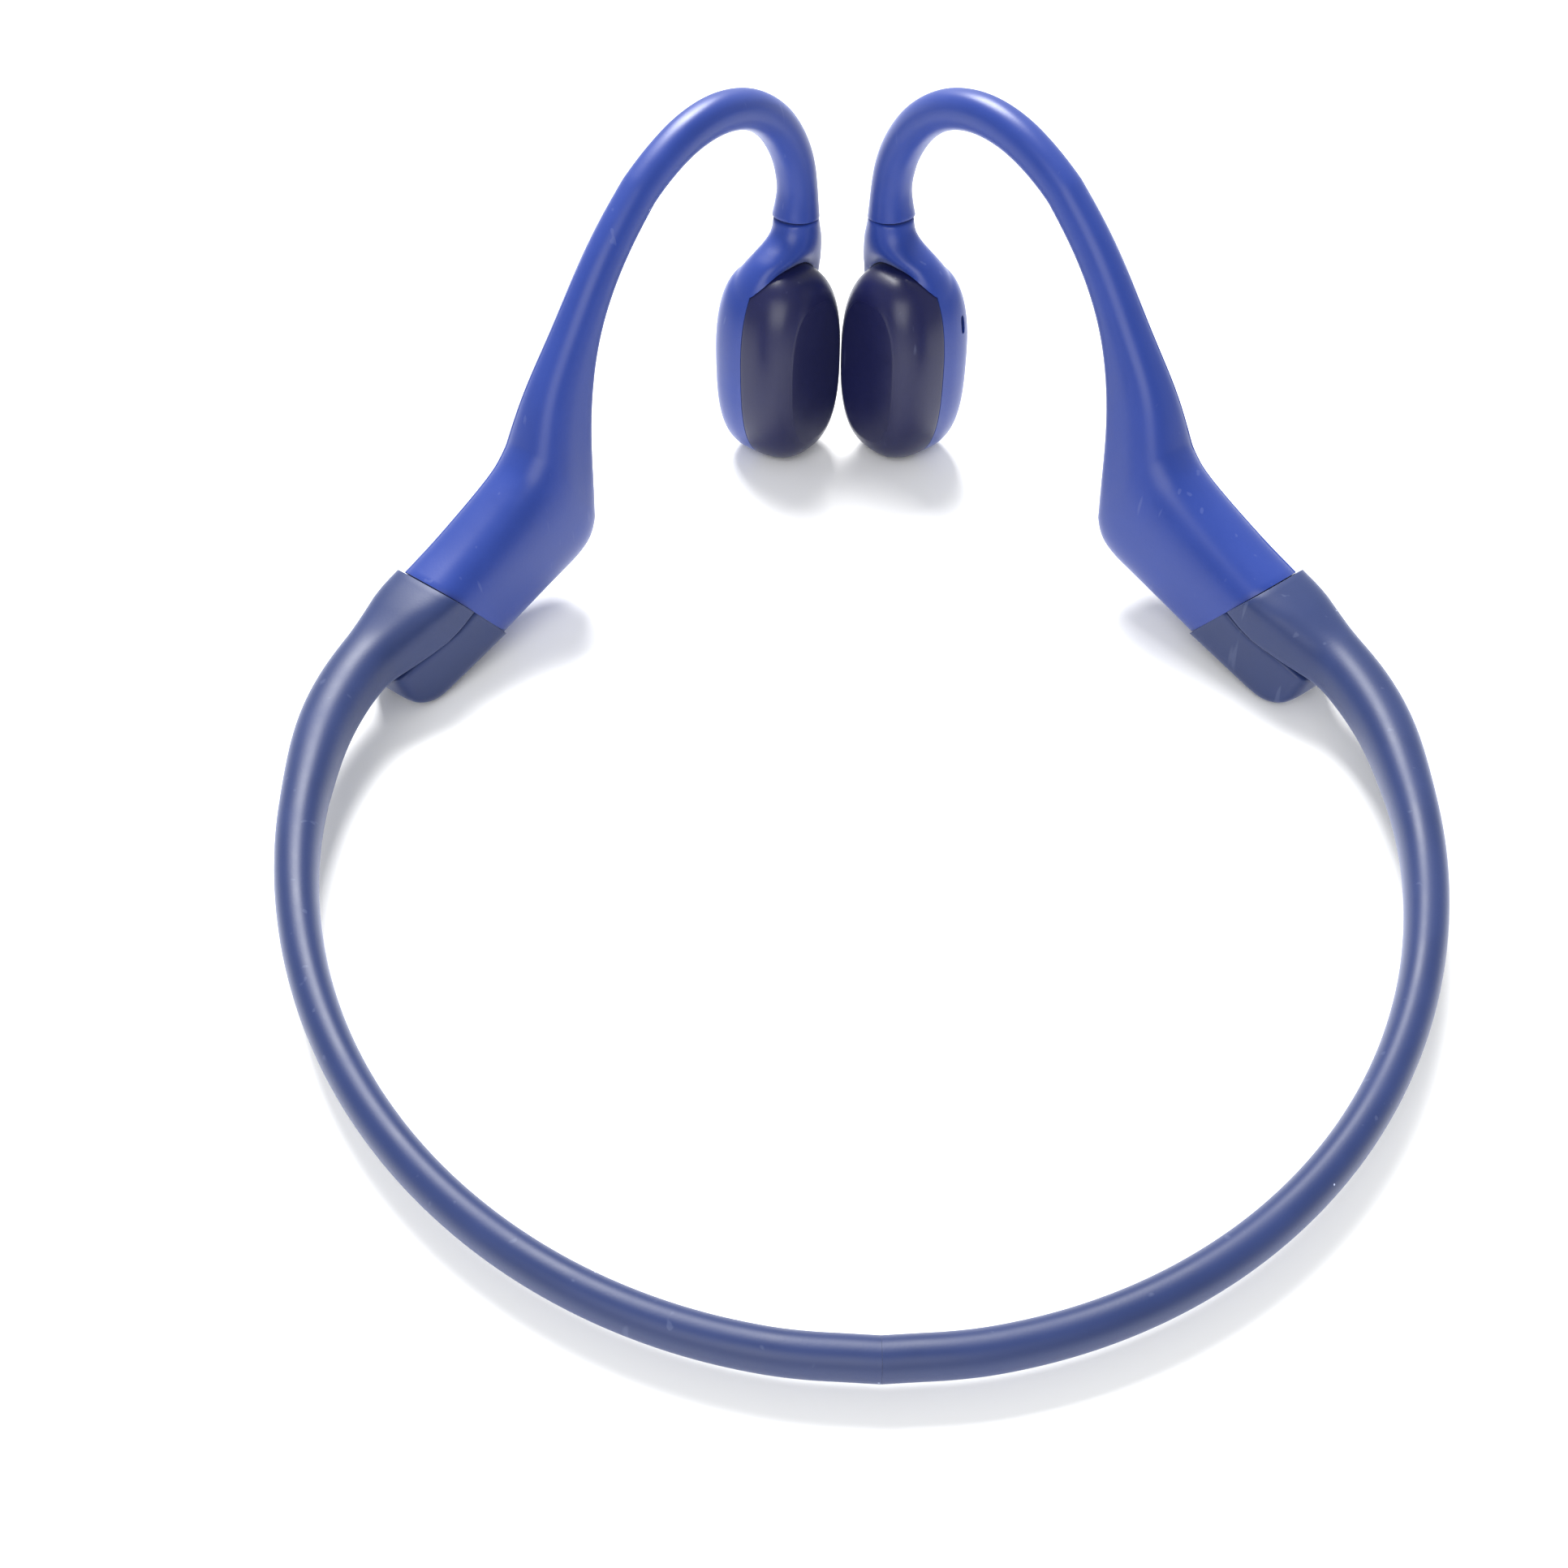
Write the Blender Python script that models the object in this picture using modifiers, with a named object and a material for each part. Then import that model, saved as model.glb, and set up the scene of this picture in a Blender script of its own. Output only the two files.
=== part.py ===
"""Bone conduction headphones: two sprung arms on a wire band, whose pods press on the cheekbones.

World frame: +X is the wearer's right, +Y is forward, +Z is up, and the object stands on z = 0.
Each arm is laid out in its own upright plane. In it s runs forward along the arm from the point where
the control box touches the table, n runs outward through the arm's thickness, and z is height.
"""
import math

import bmesh
import bpy
import numpy as np
from mathutils import Matrix, Vector

MM = 0.001
RIGHT = 1
LEFT = -1

# Band: half an ellipse seen from above, that climbs from its rear to the control boxes.
BAND_HALF_WIDTH = 53.2 * MM
BAND_DEPTH = 57.0 * MM
BAND_REAR_Z = 3.2 * MM
BAND_FLANK_Z = 6.6 * MM
BAND_CLIMB_POWER = 1.3
BAND_REAR_HALF = (1.45 * MM, 1.65 * MM)
BAND_FLANK_HALF = (2.15 * MM, 2.25 * MM)
BAND_SWELL_POWER = 2.8
BAND_CENTRE_ANGLE = math.radians(20)
ROOT_HEADING = math.radians(24)
ROOT_SLOPE = -0.1
ROOT_BEND = 3.2 * MM
ROOT_EASE = 0.5 * MM
ROOT_DRIFT = -1.6 * MM
ROOT_DRIFT_RUN = 8 * MM
ROOT_INSET_X = 5.6 * MM
ROOT_RUN_Y = 20.6 * MM

# Control boxes.
TOE_IN = math.radians(38)
BOX_LENGTH = 27.6 * MM
BOX_HEIGHT = 19.0 * MM
BOX_THICKNESS = 8.8 * MM
BOX_WALL = 1.1 * MM
BOX_RISE = 0.38923
BOX_PITCH = math.atan(BOX_RISE * BOX_HEIGHT / BOX_LENGTH)

# Ear hooks and pods.
ARCH_HEIGHT = 46.1 * MM
HOOK_DRIFT = -1.8 * MM
HOOK_DRIFT_START = 0.5
HOOK_DRIFT_END = 5 * MM
POD_HALF_WIDTH = 7.3 * MM
POD_HALF_HEIGHT = 12.6 * MM
POD_HALF_DEPTH = 5.85 * MM
PAD_WALL = 1.0 * MM
SHELL_WALL = 1.1 * MM
PAD_TO_PAD = 0.3 * MM
NECK_HALF = 2.25 * MM

# Wires and their channel.
WIRE_RADIUS = 0.35 * MM
CABLE_RADIUS = 0.3 * MM
CHANNEL_HALF = (0.7 * MM, 1.15 * MM)
WIRE_OFFSET = 0.45 * MM
CABLE_OFFSET = -0.5 * MM

# Clearances and travels.
GAP = 0.3 * MM
BUTTON_TRAVEL = 0.4 * MM
BUTTON_PROUD = 0.5 * MM
BUTTON_FLANGE = 0.5 * MM
SWITCH_HEIGHT = 1.0 * MM

SIN = math.sin(TOE_IN)
COS = math.cos(TOE_IN)
BOX_X = BAND_HALF_WIDTH - ROOT_INSET_X
BOX_Y = BAND_DEPTH + ROOT_RUN_Y
PIVOT = Vector((0, 0, BAND_REAR_Z))

# Rings of the control box as shares of its length and height: bottom point, top point, then the
# thickness as a share of the box's. The first ring lies along the slanted joint with the end cap.
COVER_RINGS = (
    ((0.409, 0.116), (0.138, 0.658), 1.00),
    ((0.514, 0.158), (0.275, 0.726), 1.00),
    ((0.616, 0.195), (0.404, 0.797), 1.00),
    ((0.746, 0.242), (0.543, 0.884), 1.00),
    ((0.855, 0.289), (0.638, 0.958), 1.00),
    ((0.928, 0.358), (0.688, 1.021), 0.99),
    ((0.971, 0.484), (0.725, 1.089), 0.95),
    ((0.989, 0.642), (0.750, 1.168), 0.88),
    ((1.000, 0.821), (0.775, 1.242), 0.79),
    ((1.014, 1.000), (0.804, 1.321), 0.69),
    ((1.036, 1.158), (0.841, 1.411), 0.61),
    ((1.080, 1.316), (0.899, 1.505), 0.56),
)
CAVITY_RINGS = 6
CAP_RINGS = (
    ((0.399, 0.111), (0.251, 0.409), 1.00),
    ((0.272, 0.074), (0.148, 0.359), 0.98),
    ((0.152, 0.034), (0.053, 0.319), 0.94),
    ((0.058, 0.000), (-0.017, 0.289), 0.88),
    ((0.007, 0.016), (-0.058, 0.271), 0.78),
    ((-0.043, 0.079), (-0.090, 0.257), 0.62),
    ((-0.076, 0.153), (-0.105, 0.247), 0.40),
)
CAP_CAVITY_RINGS = 4
ROOT_RINGS = (
    ((0.246, 0.431), (0.127, 0.649), 1.00),
    ((0.136, 0.380), (0.034, 0.616), 0.95),
    ((0.023, 0.331), (-0.057, 0.571), 0.83),
    ((-0.080, 0.286), (-0.140, 0.524), 0.67),
)
# How square a section is where the root and the end cap lie on each other.
SEAM_POWER = 12.0
# Hook centreline: share of the way from the box's front to the pod, and height as a share of the rise
# to the crest, from the box's collar in front and from the pod's neck behind.
HOOK_RISE = ((0.029, 0.123), (0.127, 0.389), (0.240, 0.623), (0.379, 0.819), (0.546, 0.959), (0.711, 1.000))
HOOK_FALL = ((0.867, 0.926), (0.994, 0.741), (1.078, 0.482), (1.110, 0.223), (1.104, 0.000))
COLLAR_HEIGHT = 1.4105 * BOX_HEIGHT
NECK_RISE = 4.4 * MM
# Hook thickness: share of the way along it, half thickness.
HOOK_HALVES = (
    (0.0, 2.40 * MM), (0.12, 2.12 * MM), (0.32, 1.90 * MM), (0.55, 2.05 * MM), (0.72, 2.25 * MM),
    (1.0, 2.15 * MM),
)
# Pod rings: depth from the pod's middle plane, half width and half height, as shares of the pod's.
PAD_RINGS = (
    (0.03, 1.00, 1.00), (0.40, 0.985, 0.99), (0.72, 0.91, 0.94), (0.91, 0.79, 0.86), (1.0, 0.66, 0.74),
)
SHELL_RINGS = (
    (0.03, 1.00, 1.00), (0.36, 1.00, 1.00), (0.66, 0.94, 0.96), (0.88, 0.81, 0.86), (1.0, 0.62, 0.72),
)
POD_POWER = 2.8
BOX_POWER = 3.8
ROOT_POWER = 2.6
TUBE_POWER = 2.2
RING_POINTS = 16
POD_POINTS = 20
TUBE_POINTS = 12


def remove_everything():
    """Start from an empty scene."""
    for item in list(bpy.data.objects):
        bpy.data.objects.remove(item, do_unlink=True)


def new_collection(name):
    """A collection linked to the scene."""
    group = bpy.data.collections.new(name)
    bpy.context.scene.collection.children.link(group)
    return group


def new_finish(name, colour, roughness, metallic=0.0):
    """A Principled BSDF material."""
    finish = bpy.data.materials.new(name)
    finish.use_nodes = True
    shader = finish.node_tree.nodes["Principled BSDF"]
    shader.inputs["Base Color"].default_value = (*colour, 1.0)
    shader.inputs["Roughness"].default_value = roughness
    shader.inputs["Metallic"].default_value = metallic
    return finish


remove_everything()
PIECES = new_collection("bone_conduction_headphones")
CUTTERS = new_collection("cutters")

BRIGHT_SILICONE = new_finish("bright_blue_silicone", (0.035, 0.070, 0.400), 0.45)
SLATE_SILICONE = new_finish("slate_blue_silicone", (0.050, 0.085, 0.300), 0.48)
PAD_SILICONE = new_finish("navy_pad_silicone", (0.020, 0.020, 0.095), 0.45)
TITANIUM = new_finish("titanium_wire", (0.45, 0.44, 0.42), 0.35, 1.0)
COPPER = new_finish("copper_winding", (0.72, 0.34, 0.16), 0.35, 1.0)
STEEL = new_finish("plated_steel", (0.60, 0.60, 0.62), 0.30, 1.0)
GOLD = new_finish("gold_plating", (0.85, 0.62, 0.25), 0.25, 1.0)
MAGNET = new_finish("nickelled_magnet", (0.50, 0.50, 0.50), 0.25, 1.0)
BOARD = new_finish("green_board", (0.02, 0.16, 0.07), 0.5)
BLACK_PLASTIC = new_finish("black_plastic", (0.02, 0.02, 0.022), 0.5)
NYLON = new_finish("grey_nylon", (0.22, 0.23, 0.25), 0.55)
CELL_FILM = new_finish("cell_film", (0.30, 0.32, 0.36), 0.4)
JACKET = new_finish("cable_jacket", (0.08, 0.08, 0.09), 0.5)
LIGHT_PIPE = new_finish("frosted_light_pipe", (0.75, 0.78, 0.80), 0.4)


def new_empty(name, parent, place):
    """A frame that pieces hang from."""
    frame = bpy.data.objects.new(name, None)
    PIECES.objects.link(frame)
    frame.parent = parent
    frame.location = place
    frame.empty_display_size = 5 * MM
    return frame


ROOT = new_empty("headphones_origin", None, Vector((0, 0, 0)))
BAND_FRAME = new_empty("band_frame", ROOT, PIVOT)
ARM_FRAMES = {
    RIGHT: new_empty("right_arm_pivot", ROOT, PIVOT),
    LEFT: new_empty("left_arm_pivot", ROOT, PIVOT),
}
SIDE_NAMES = {RIGHT: "right", LEFT: "left"}


def to_world(side, s, n, z):
    """A point of an arm's own plane, in the world."""
    return Vector((side * (BOX_X - s * SIN + n * COS), BOX_Y + s * COS + n * SIN, z))


def add_piece(name, bm, finish, parent, origin, collection=PIECES):
    """Store a mesh made in world coordinates as a piece with its own origin at a given point."""
    bm.normal_update()
    bmesh.ops.recalc_face_normals(bm, faces=bm.faces)
    bmesh.ops.translate(bm, verts=bm.verts, vec=-origin)
    mesh = bpy.data.meshes.new(name)
    bm.to_mesh(mesh)
    bm.free()
    mesh.materials.append(finish)
    mesh.shade_smooth()
    mesh.set_sharp_from_angle(angle=math.radians(40))
    piece = bpy.data.objects.new(name, mesh)
    collection.objects.link(piece)
    piece.parent = parent
    piece.location = origin - PIVOT
    return piece


def smooth_step(share):
    """A share from 0 to 1 that eases in and out."""
    held = min(max(share, 0.0), 1.0)
    return held * held * (3 - 2 * held)


def ring(centre, across, up, half_across, half_up, power, count, foot=None):
    """Points of a superellipse round a centre; its lower half may have a power of its own."""
    points = []
    for k in range(count):
        turn = 2 * math.pi * k / count
        c = math.cos(turn)
        d = math.sin(turn)
        bend = foot if foot and d < 0 else power
        a = half_across * math.copysign(abs(c) ** (2 / bend), c)
        b = half_up * math.copysign(abs(d) ** (2 / bend), d)
        points.append(centre + across * a + up * b)
    return points


def loft(rings, looped=False):
    """Skin a run of rings; a looped run closes on itself, and any other is capped at both ends."""
    bm = bmesh.new()
    rows = [[bm.verts.new(point) for point in one] for one in rings]
    pairs = list(zip(rows, rows[1:]))
    if looped:
        pairs.append((rows[-1], rows[0]))
    else:
        bm.faces.new(rows[0])
        bm.faces.new(rows[-1])
    for first, second in pairs:
        for k in range(len(first)):
            bm.faces.new((first[k], first[k - 1], second[k - 1], second[k]))
    return bm


def curve_through(points, samples):
    """Even samples of a smooth Catmull-Rom curve through points of any dimension."""
    nodes = np.array(points, dtype=float)
    nodes = np.vstack([2 * nodes[0] - nodes[1], nodes, 2 * nodes[-1] - nodes[-2]])
    spans = len(nodes) - 3
    found = []
    for share in np.linspace(0, spans, samples):
        i = min(int(share), spans - 1)
        t = share - i
        a, b, c, d = nodes[i:i + 4]
        found.append(0.5 * (2 * b + (c - a) * t + (2 * a - 5 * b + 4 * c - d) * t ** 2
                            + (3 * b - a - 3 * c + d) * t ** 3))
    return np.array(found)


def drift(s):
    """How far the arm's centreline has moved inward at s, towards the pod or towards the band."""
    start = HOOK_DRIFT_START * BOX_LENGTH
    ahead = HOOK_DRIFT * smooth_step((s - start) / (POD_S - HOOK_DRIFT_END - start))
    return ahead + ROOT_DRIFT * smooth_step(-s / ROOT_DRIFT_RUN)


def find_pod_place():
    """The s of the pod's centre, such that the two pads just clear each other at the centre plane."""
    reach = 0.0
    for depth, width, _ in PAD_RINGS:
        for point in ring(Vector((0, 0, 0)), Vector((1, 0, 0)), Vector((0, 0, 1)), width * POD_HALF_WIDTH,
                          POD_HALF_HEIGHT, POD_POWER, POD_POINTS):
            reach = min(reach, -depth * POD_HALF_DEPTH * COS - point.x * SIN)
    return (BOX_X + HOOK_DRIFT * COS + reach - PAD_TO_PAD / 2) / SIN


POD_S = find_pod_place()
POD_N = HOOK_DRIFT
POD_Z = POD_HALF_HEIGHT


def plane_ring(side, bottom, top, thickness, inset, power=BOX_POWER, count=RING_POINTS, foot=None):
    """A ring between a bottom and a top point of the arm's plane, drawn in by an inset."""
    low = Vector((bottom[0] * BOX_LENGTH, bottom[1] * BOX_HEIGHT))
    high = Vector((top[0] * BOX_LENGTH, top[1] * BOX_HEIGHT))
    middle = (low + high) / 2
    n = drift(middle.x)
    centre = to_world(side, middle.x, n, middle.y)
    up = (to_world(side, high.x, n, high.y) - centre).normalized()
    across = to_world(side, 0, 1, 0) - to_world(side, 0, 0, 0)
    half_up = (high - low).length / 2 - inset
    half_across = thickness * BOX_THICKNESS / 2 - inset
    return ring(centre, across, up, half_across, half_up, power, count, foot)


def hook_path(samples):
    """Centreline points of the hook in its arm's plane: s, n, z."""
    points = []
    neck_top = 2 * POD_HALF_HEIGHT + NECK_RISE + GAP
    for foot, table in ((COLLAR_HEIGHT, HOOK_RISE), (neck_top, HOOK_FALL)):
        for along, height in table:
            points.append((BOX_LENGTH + along * (POD_S - BOX_LENGTH), foot + height * (ARCH_HEIGHT - foot)))
    return [(s, drift(s), z) for s, z in curve_through(points, samples)]


def tube_rings(side, path, half_across, half_up, count=RING_POINTS):
    """Rings square to a path of the arm's plane; the halves may vary along it."""
    places = [to_world(side, *point) for point in path]
    outward = to_world(side, 0, 1, 0) - to_world(side, 0, 0, 0)
    rings = []
    for k, place in enumerate(places):
        along = (places[min(k + 1, len(places) - 1)] - places[max(k - 1, 0)]).normalized()
        up = (outward.cross(along) * side).normalized()
        across = (outward - along * outward.dot(along)).normalized()
        rings.append(ring(place, across, up, half_across[k], half_up[k], TUBE_POWER, count))
    return rings


HOOK_SAMPLES = 16
# How far the cavity narrows, ring by ring, between the box and the hook's channel.
TAPER_SHARES = (0.55, 0.18)


def hook_halves():
    """Half thickness of the hook at each sample of its path."""
    shares, halves = zip(*HOOK_HALVES)
    return list(np.interp(np.linspace(0, 1, HOOK_SAMPLES), shares, halves))


def make_hook_cover(side):
    """Silicone skin over the front of the control box and the whole hook, with a channel for the wires."""
    path = hook_path(HOOK_SAMPLES)
    outer = [plane_ring(side, low, high, width, 0.0) for low, high, width in COVER_RINGS]
    outer += tube_rings(side, path, hook_halves(), hook_halves())
    inner = [plane_ring(side, low, high, width, BOX_WALL) for low, high, width in COVER_RINGS[:CAVITY_RINGS]]
    for k, share in enumerate(TAPER_SHARES):
        low, high, width = COVER_RINGS[CAVITY_RINGS + 2 * k]
        middle = [(low[0] + high[0]) / 2, (low[1] + high[1]) / 2]
        near = [middle[i] + (low[i] - middle[i]) * share for i in range(2)]
        far = [middle[i] + (high[i] - middle[i]) * share for i in range(2)]
        inner.append(plane_ring(side, near, far, width * share, 0.0))
    inner += tube_rings(side, path, [CHANNEL_HALF[0]] * HOOK_SAMPLES, [CHANNEL_HALF[1]] * HOOK_SAMPLES)
    bm = loft(outer + inner[::-1], looped=True)
    origin = to_world(side, 0.5 * BOX_LENGTH, 0, 0.5 * BOX_HEIGHT)
    return add_piece(f"hook_cover_{SIDE_NAMES[side]}", bm, BRIGHT_SILICONE, ARM_FRAMES[side], origin)


def make_end_cap(side):
    """Hollow rear corner of the control box, under the band's root."""
    outer = [plane_ring(side, low, high, width, 0.0, SEAM_POWER, RING_POINTS, BOX_POWER)
             for low, high, width in CAP_RINGS]
    inner = [plane_ring(side, low, high, width, BOX_WALL)
             for low, high, width in CAP_RINGS[:CAP_CAVITY_RINGS]]
    bm = loft(inner[::-1] + outer)
    origin = to_world(side, 0.1 * BOX_LENGTH, 0, 0.2 * BOX_HEIGHT)
    return add_piece(f"end_cap_{SIDE_NAMES[side]}", bm, SLATE_SILICONE, ARM_FRAMES[side], origin)


FLANK_SPANS = 7
FLANK_SAMPLES = 19
CENTRE_SPANS = 8


def band_point(angle):
    """A point of the band's centreline at an angle round its half ellipse, 0 at the rear centre."""
    x = BAND_HALF_WIDTH * math.sin(angle)
    y = BAND_DEPTH * (1 - math.cos(abs(angle)))
    climb = (y / BAND_DEPTH) ** BAND_CLIMB_POWER
    return Vector((x, y, BAND_REAR_Z + (BAND_FLANK_Z - BAND_REAR_Z) * climb))


def root_centre(side, low, high):
    """The middle of a root ring."""
    s = (low[0] + high[0]) / 2 * BOX_LENGTH
    return to_world(side, s, drift(s), (low[1] + high[1]) / 2 * BOX_HEIGHT)


def flank_path(side, samples):
    """Centreline from the end of the band's centre piece to the last ring of its root."""
    turn = (math.pi / 2 - BAND_CENTRE_ANGLE) / FLANK_SPANS
    points = [band_point(side * (BAND_CENTRE_ANGLE + turn * k)) for k in range(FLANK_SPANS + 1)]
    last = root_centre(side, *ROOT_RINGS[-1][:2])
    flank = points[-1]
    heading = Vector((side * math.sin(ROOT_HEADING), -math.cos(ROOT_HEADING), ROOT_SLOPE))
    bend = last + heading * ROOT_BEND
    middle = Vector((side * (BAND_HALF_WIDTH - ROOT_EASE), (flank.y + bend.y) / 2, (flank.z + bend.z) / 2))
    points += [middle, bend, last]
    return [Vector(point) for point in curve_through(points, samples)]


def band_halves(place):
    """Half thickness and half height of the band's section where it passes a point."""
    share = min(place.y / BAND_DEPTH, 1.0) ** BAND_SWELL_POWER
    return [BAND_REAR_HALF[i] + (BAND_FLANK_HALF[i] - BAND_REAR_HALF[i]) * share for i in range(2)]


def band_rings(path, halves):
    """Rings square to a free path with their height upright."""
    rings = []
    for k, place in enumerate(path):
        along = (path[min(k + 1, len(path) - 1)] - path[max(k - 1, 0)]).normalized()
        across = Vector((0, 0, 1)).cross(along).normalized()
        up = along.cross(across)
        rings.append(ring(place, across, up, *halves[k], TUBE_POWER, TUBE_POINTS))
    return rings



def make_band_flank(side):
    """Silicone sleeve of one side of the band, swelling into the shoulder on top of the control box."""
    path = flank_path(side, FLANK_SAMPLES)[:-1]
    outer = band_rings(path, [band_halves(place) for place in path])
    inner = band_rings(path, [CHANNEL_HALF] * len(path))
    order = range(TUBE_POINTS)
    for low, high, width in ROOT_RINGS[::-1]:
        outer.append(plane_ring(side, low, high, width, 0.0, ROOT_POWER, TUBE_POINTS, SEAM_POWER))
        centre = root_centre(side, low, high)
        up = (to_world(side, high[0] * BOX_LENGTH, drift(high[0] * BOX_LENGTH), high[1] * BOX_HEIGHT)
              - centre).normalized()
        outward = to_world(side, 0, 1, 0) - to_world(side, 0, 0, 0)
        inner.append(ring(centre, outward, up, *CHANNEL_HALF, TUBE_POWER, TUBE_POINTS))
    if side == RIGHT:
        order = [(TUBE_POINTS // 2 - k) % TUBE_POINTS for k in order]
    flank = len(path)
    outer[:flank] = [[one[k] for k in order] for one in outer[:flank]]
    inner[:flank] = [[one[k] for k in order] for one in inner[:flank]]
    bm = loft(outer + inner[::-1], looped=True)
    return add_piece(f"band_sleeve_{SIDE_NAMES[side]}", bm, SLATE_SILICONE, ARM_FRAMES[side], PIVOT.copy())


def make_band_centre():
    """The stretch of sleeve behind the neck that bends when the arms open."""
    trim = GAP / BAND_HALF_WIDTH
    span = BAND_CENTRE_ANGLE - trim
    path = [band_point(span * (2 * k / CENTRE_SPANS - 1)) for k in range(CENTRE_SPANS + 1)]
    outer = band_rings(path, [band_halves(place) for place in path])
    inner = band_rings(path, [CHANNEL_HALF] * len(path))
    bm = loft(outer + inner[::-1], looped=True)
    return add_piece("band_sleeve_centre", bm, SLATE_SILICONE, BAND_FRAME, PIVOT.copy())


def add_wire(name, points, radius, finish, parent):
    """A round wire along points of the world, stored as a curve with filled caps."""
    curve = bpy.data.curves.new(name, "CURVE")
    curve.dimensions = "3D"
    curve.bevel_depth = radius
    curve.bevel_resolution = 1
    curve.use_fill_caps = True
    spline = curve.splines.new("POLY")
    spline.points.add(len(points) - 1)
    for slot, place in zip(spline.points, points):
        slot.co = (*(place - PIVOT), 1.0)
    curve.materials.append(finish)
    wire = bpy.data.objects.new(name, curve)
    PIECES.objects.link(wire)
    wire.parent = parent
    return wire


def band_wire_path(offset):
    """Route of a wire from one box to the other inside the sleeve, raised by an offset."""
    right = flank_path(RIGHT, FLANK_SAMPLES)
    for low, high, _ in ROOT_RINGS[-2:0:-1]:
        right.append(root_centre(RIGHT, low, high))
    middle = [band_point(BAND_CENTRE_ANGLE * (2 * k / CENTRE_SPANS - 1)) for k in range(1, CENTRE_SPANS)]
    left = [Vector((-place.x, place.y, place.z)) for place in right]
    return [place + Vector((0, 0, offset)) for place in left[::-1] + middle + right]


def make_band_wires():
    """Titanium spring wire and the cable beside it, from box to box."""
    add_wire("band_spring_wire", band_wire_path(WIRE_OFFSET), WIRE_RADIUS, TITANIUM, BAND_FRAME)
    add_wire("band_cable", band_wire_path(CABLE_OFFSET), CABLE_RADIUS, JACKET, BAND_FRAME)


def offset_path(path, offset):
    """A path of the arm's plane moved square to itself, towards the outside of the arch."""
    moved = []
    for k, (s, n, z) in enumerate(path):
        before = path[max(k - 1, 0)]
        after = path[min(k + 1, len(path) - 1)]
        run = Vector((after[0] - before[0], after[2] - before[2])).normalized()
        moved.append((s - run.y * offset, n, z + run.x * offset))
    return moved


NECK_DROP = 5.0 * MM


def make_hook_wires(side):
    """Titanium wire that shapes the hook, and the cable to the pod, both inside the hook's channel."""
    path = hook_path(HOOK_SAMPLES)
    s, n, z = path[-1]
    path.append((s + NECK_SLOPE * NECK_DROP, n, z - NECK_DROP))
    side_name = SIDE_NAMES[side]
    for name, offset, radius, finish in (("wire", WIRE_OFFSET, WIRE_RADIUS, TITANIUM),
                                         ("cable", CABLE_OFFSET, CABLE_RADIUS, JACKET)):
        points = [to_world(side, *point) for point in offset_path(path, offset)]
        add_wire(f"hook_{name}_{side_name}", points, radius, finish, ARM_FRAMES[side])


def pod_rings(side, table, inset_side, inset_depth, sign):
    """Rings of a pod half, drawn in by an inset."""
    across = to_world(side, 1, 0, 0) - to_world(side, 0, 0, 0)
    rings = []
    for depth, width, height in table:
        reach = sign * min(depth * POD_HALF_DEPTH, POD_HALF_DEPTH - inset_depth)
        centre = to_world(side, POD_S, POD_N + reach, POD_Z)
        rings.append(ring(centre, across, Vector((0, 0, 1)), width * POD_HALF_WIDTH - inset_side,
                          height * POD_HALF_HEIGHT - inset_side, POD_POWER, POD_POINTS))
    return rings


def make_face_pad(side):
    """Vibrating cap that rests on the cheekbone: a domed cup with a flat face."""
    inner = pod_rings(side, PAD_RINGS[:4], PAD_WALL, PAD_WALL, -1)
    bm = loft(inner[::-1] + pod_rings(side, PAD_RINGS, 0.0, 0.0, -1))
    origin = to_world(side, POD_S, POD_N, POD_Z)
    return add_piece(f"face_pad_{SIDE_NAMES[side]}", bm, PAD_SILICONE, ARM_FRAMES[side], origin)


# Neck rings: height above the pod's top, lean along s, depth offset, half along s, half through.
NECK_RINGS = (
    (NECK_RISE / MM, 3.6, 0.0, 1.00, 1.00),
    (3.0, 3.4, 0.1, 1.06, 1.04),
    (1.8, 2.9, 0.4, 1.40, 1.18),
    (0.8, 2.0, 0.8, 2.00, 1.30),
)
NECK_SLOPE = -0.1
NECK_PROUD = 2 * MM
# Saddle under the neck: height from the pod's top, half along s as a share of the neck's.
SADDLE_RINGS = ((0.4, 1.9), (-4.5, 1.7))
SADDLE_LEAN = 1.2 * MM
SADDLE_HALF = POD_HALF_DEPTH / 2 - GAP - 0.2 * MM
BORE_DEPTH = 4 * MM
HOLLOW_MOUTH = (-0.17, 1.0, 1.0)
HOLLOW_RINGS = 4


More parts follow.
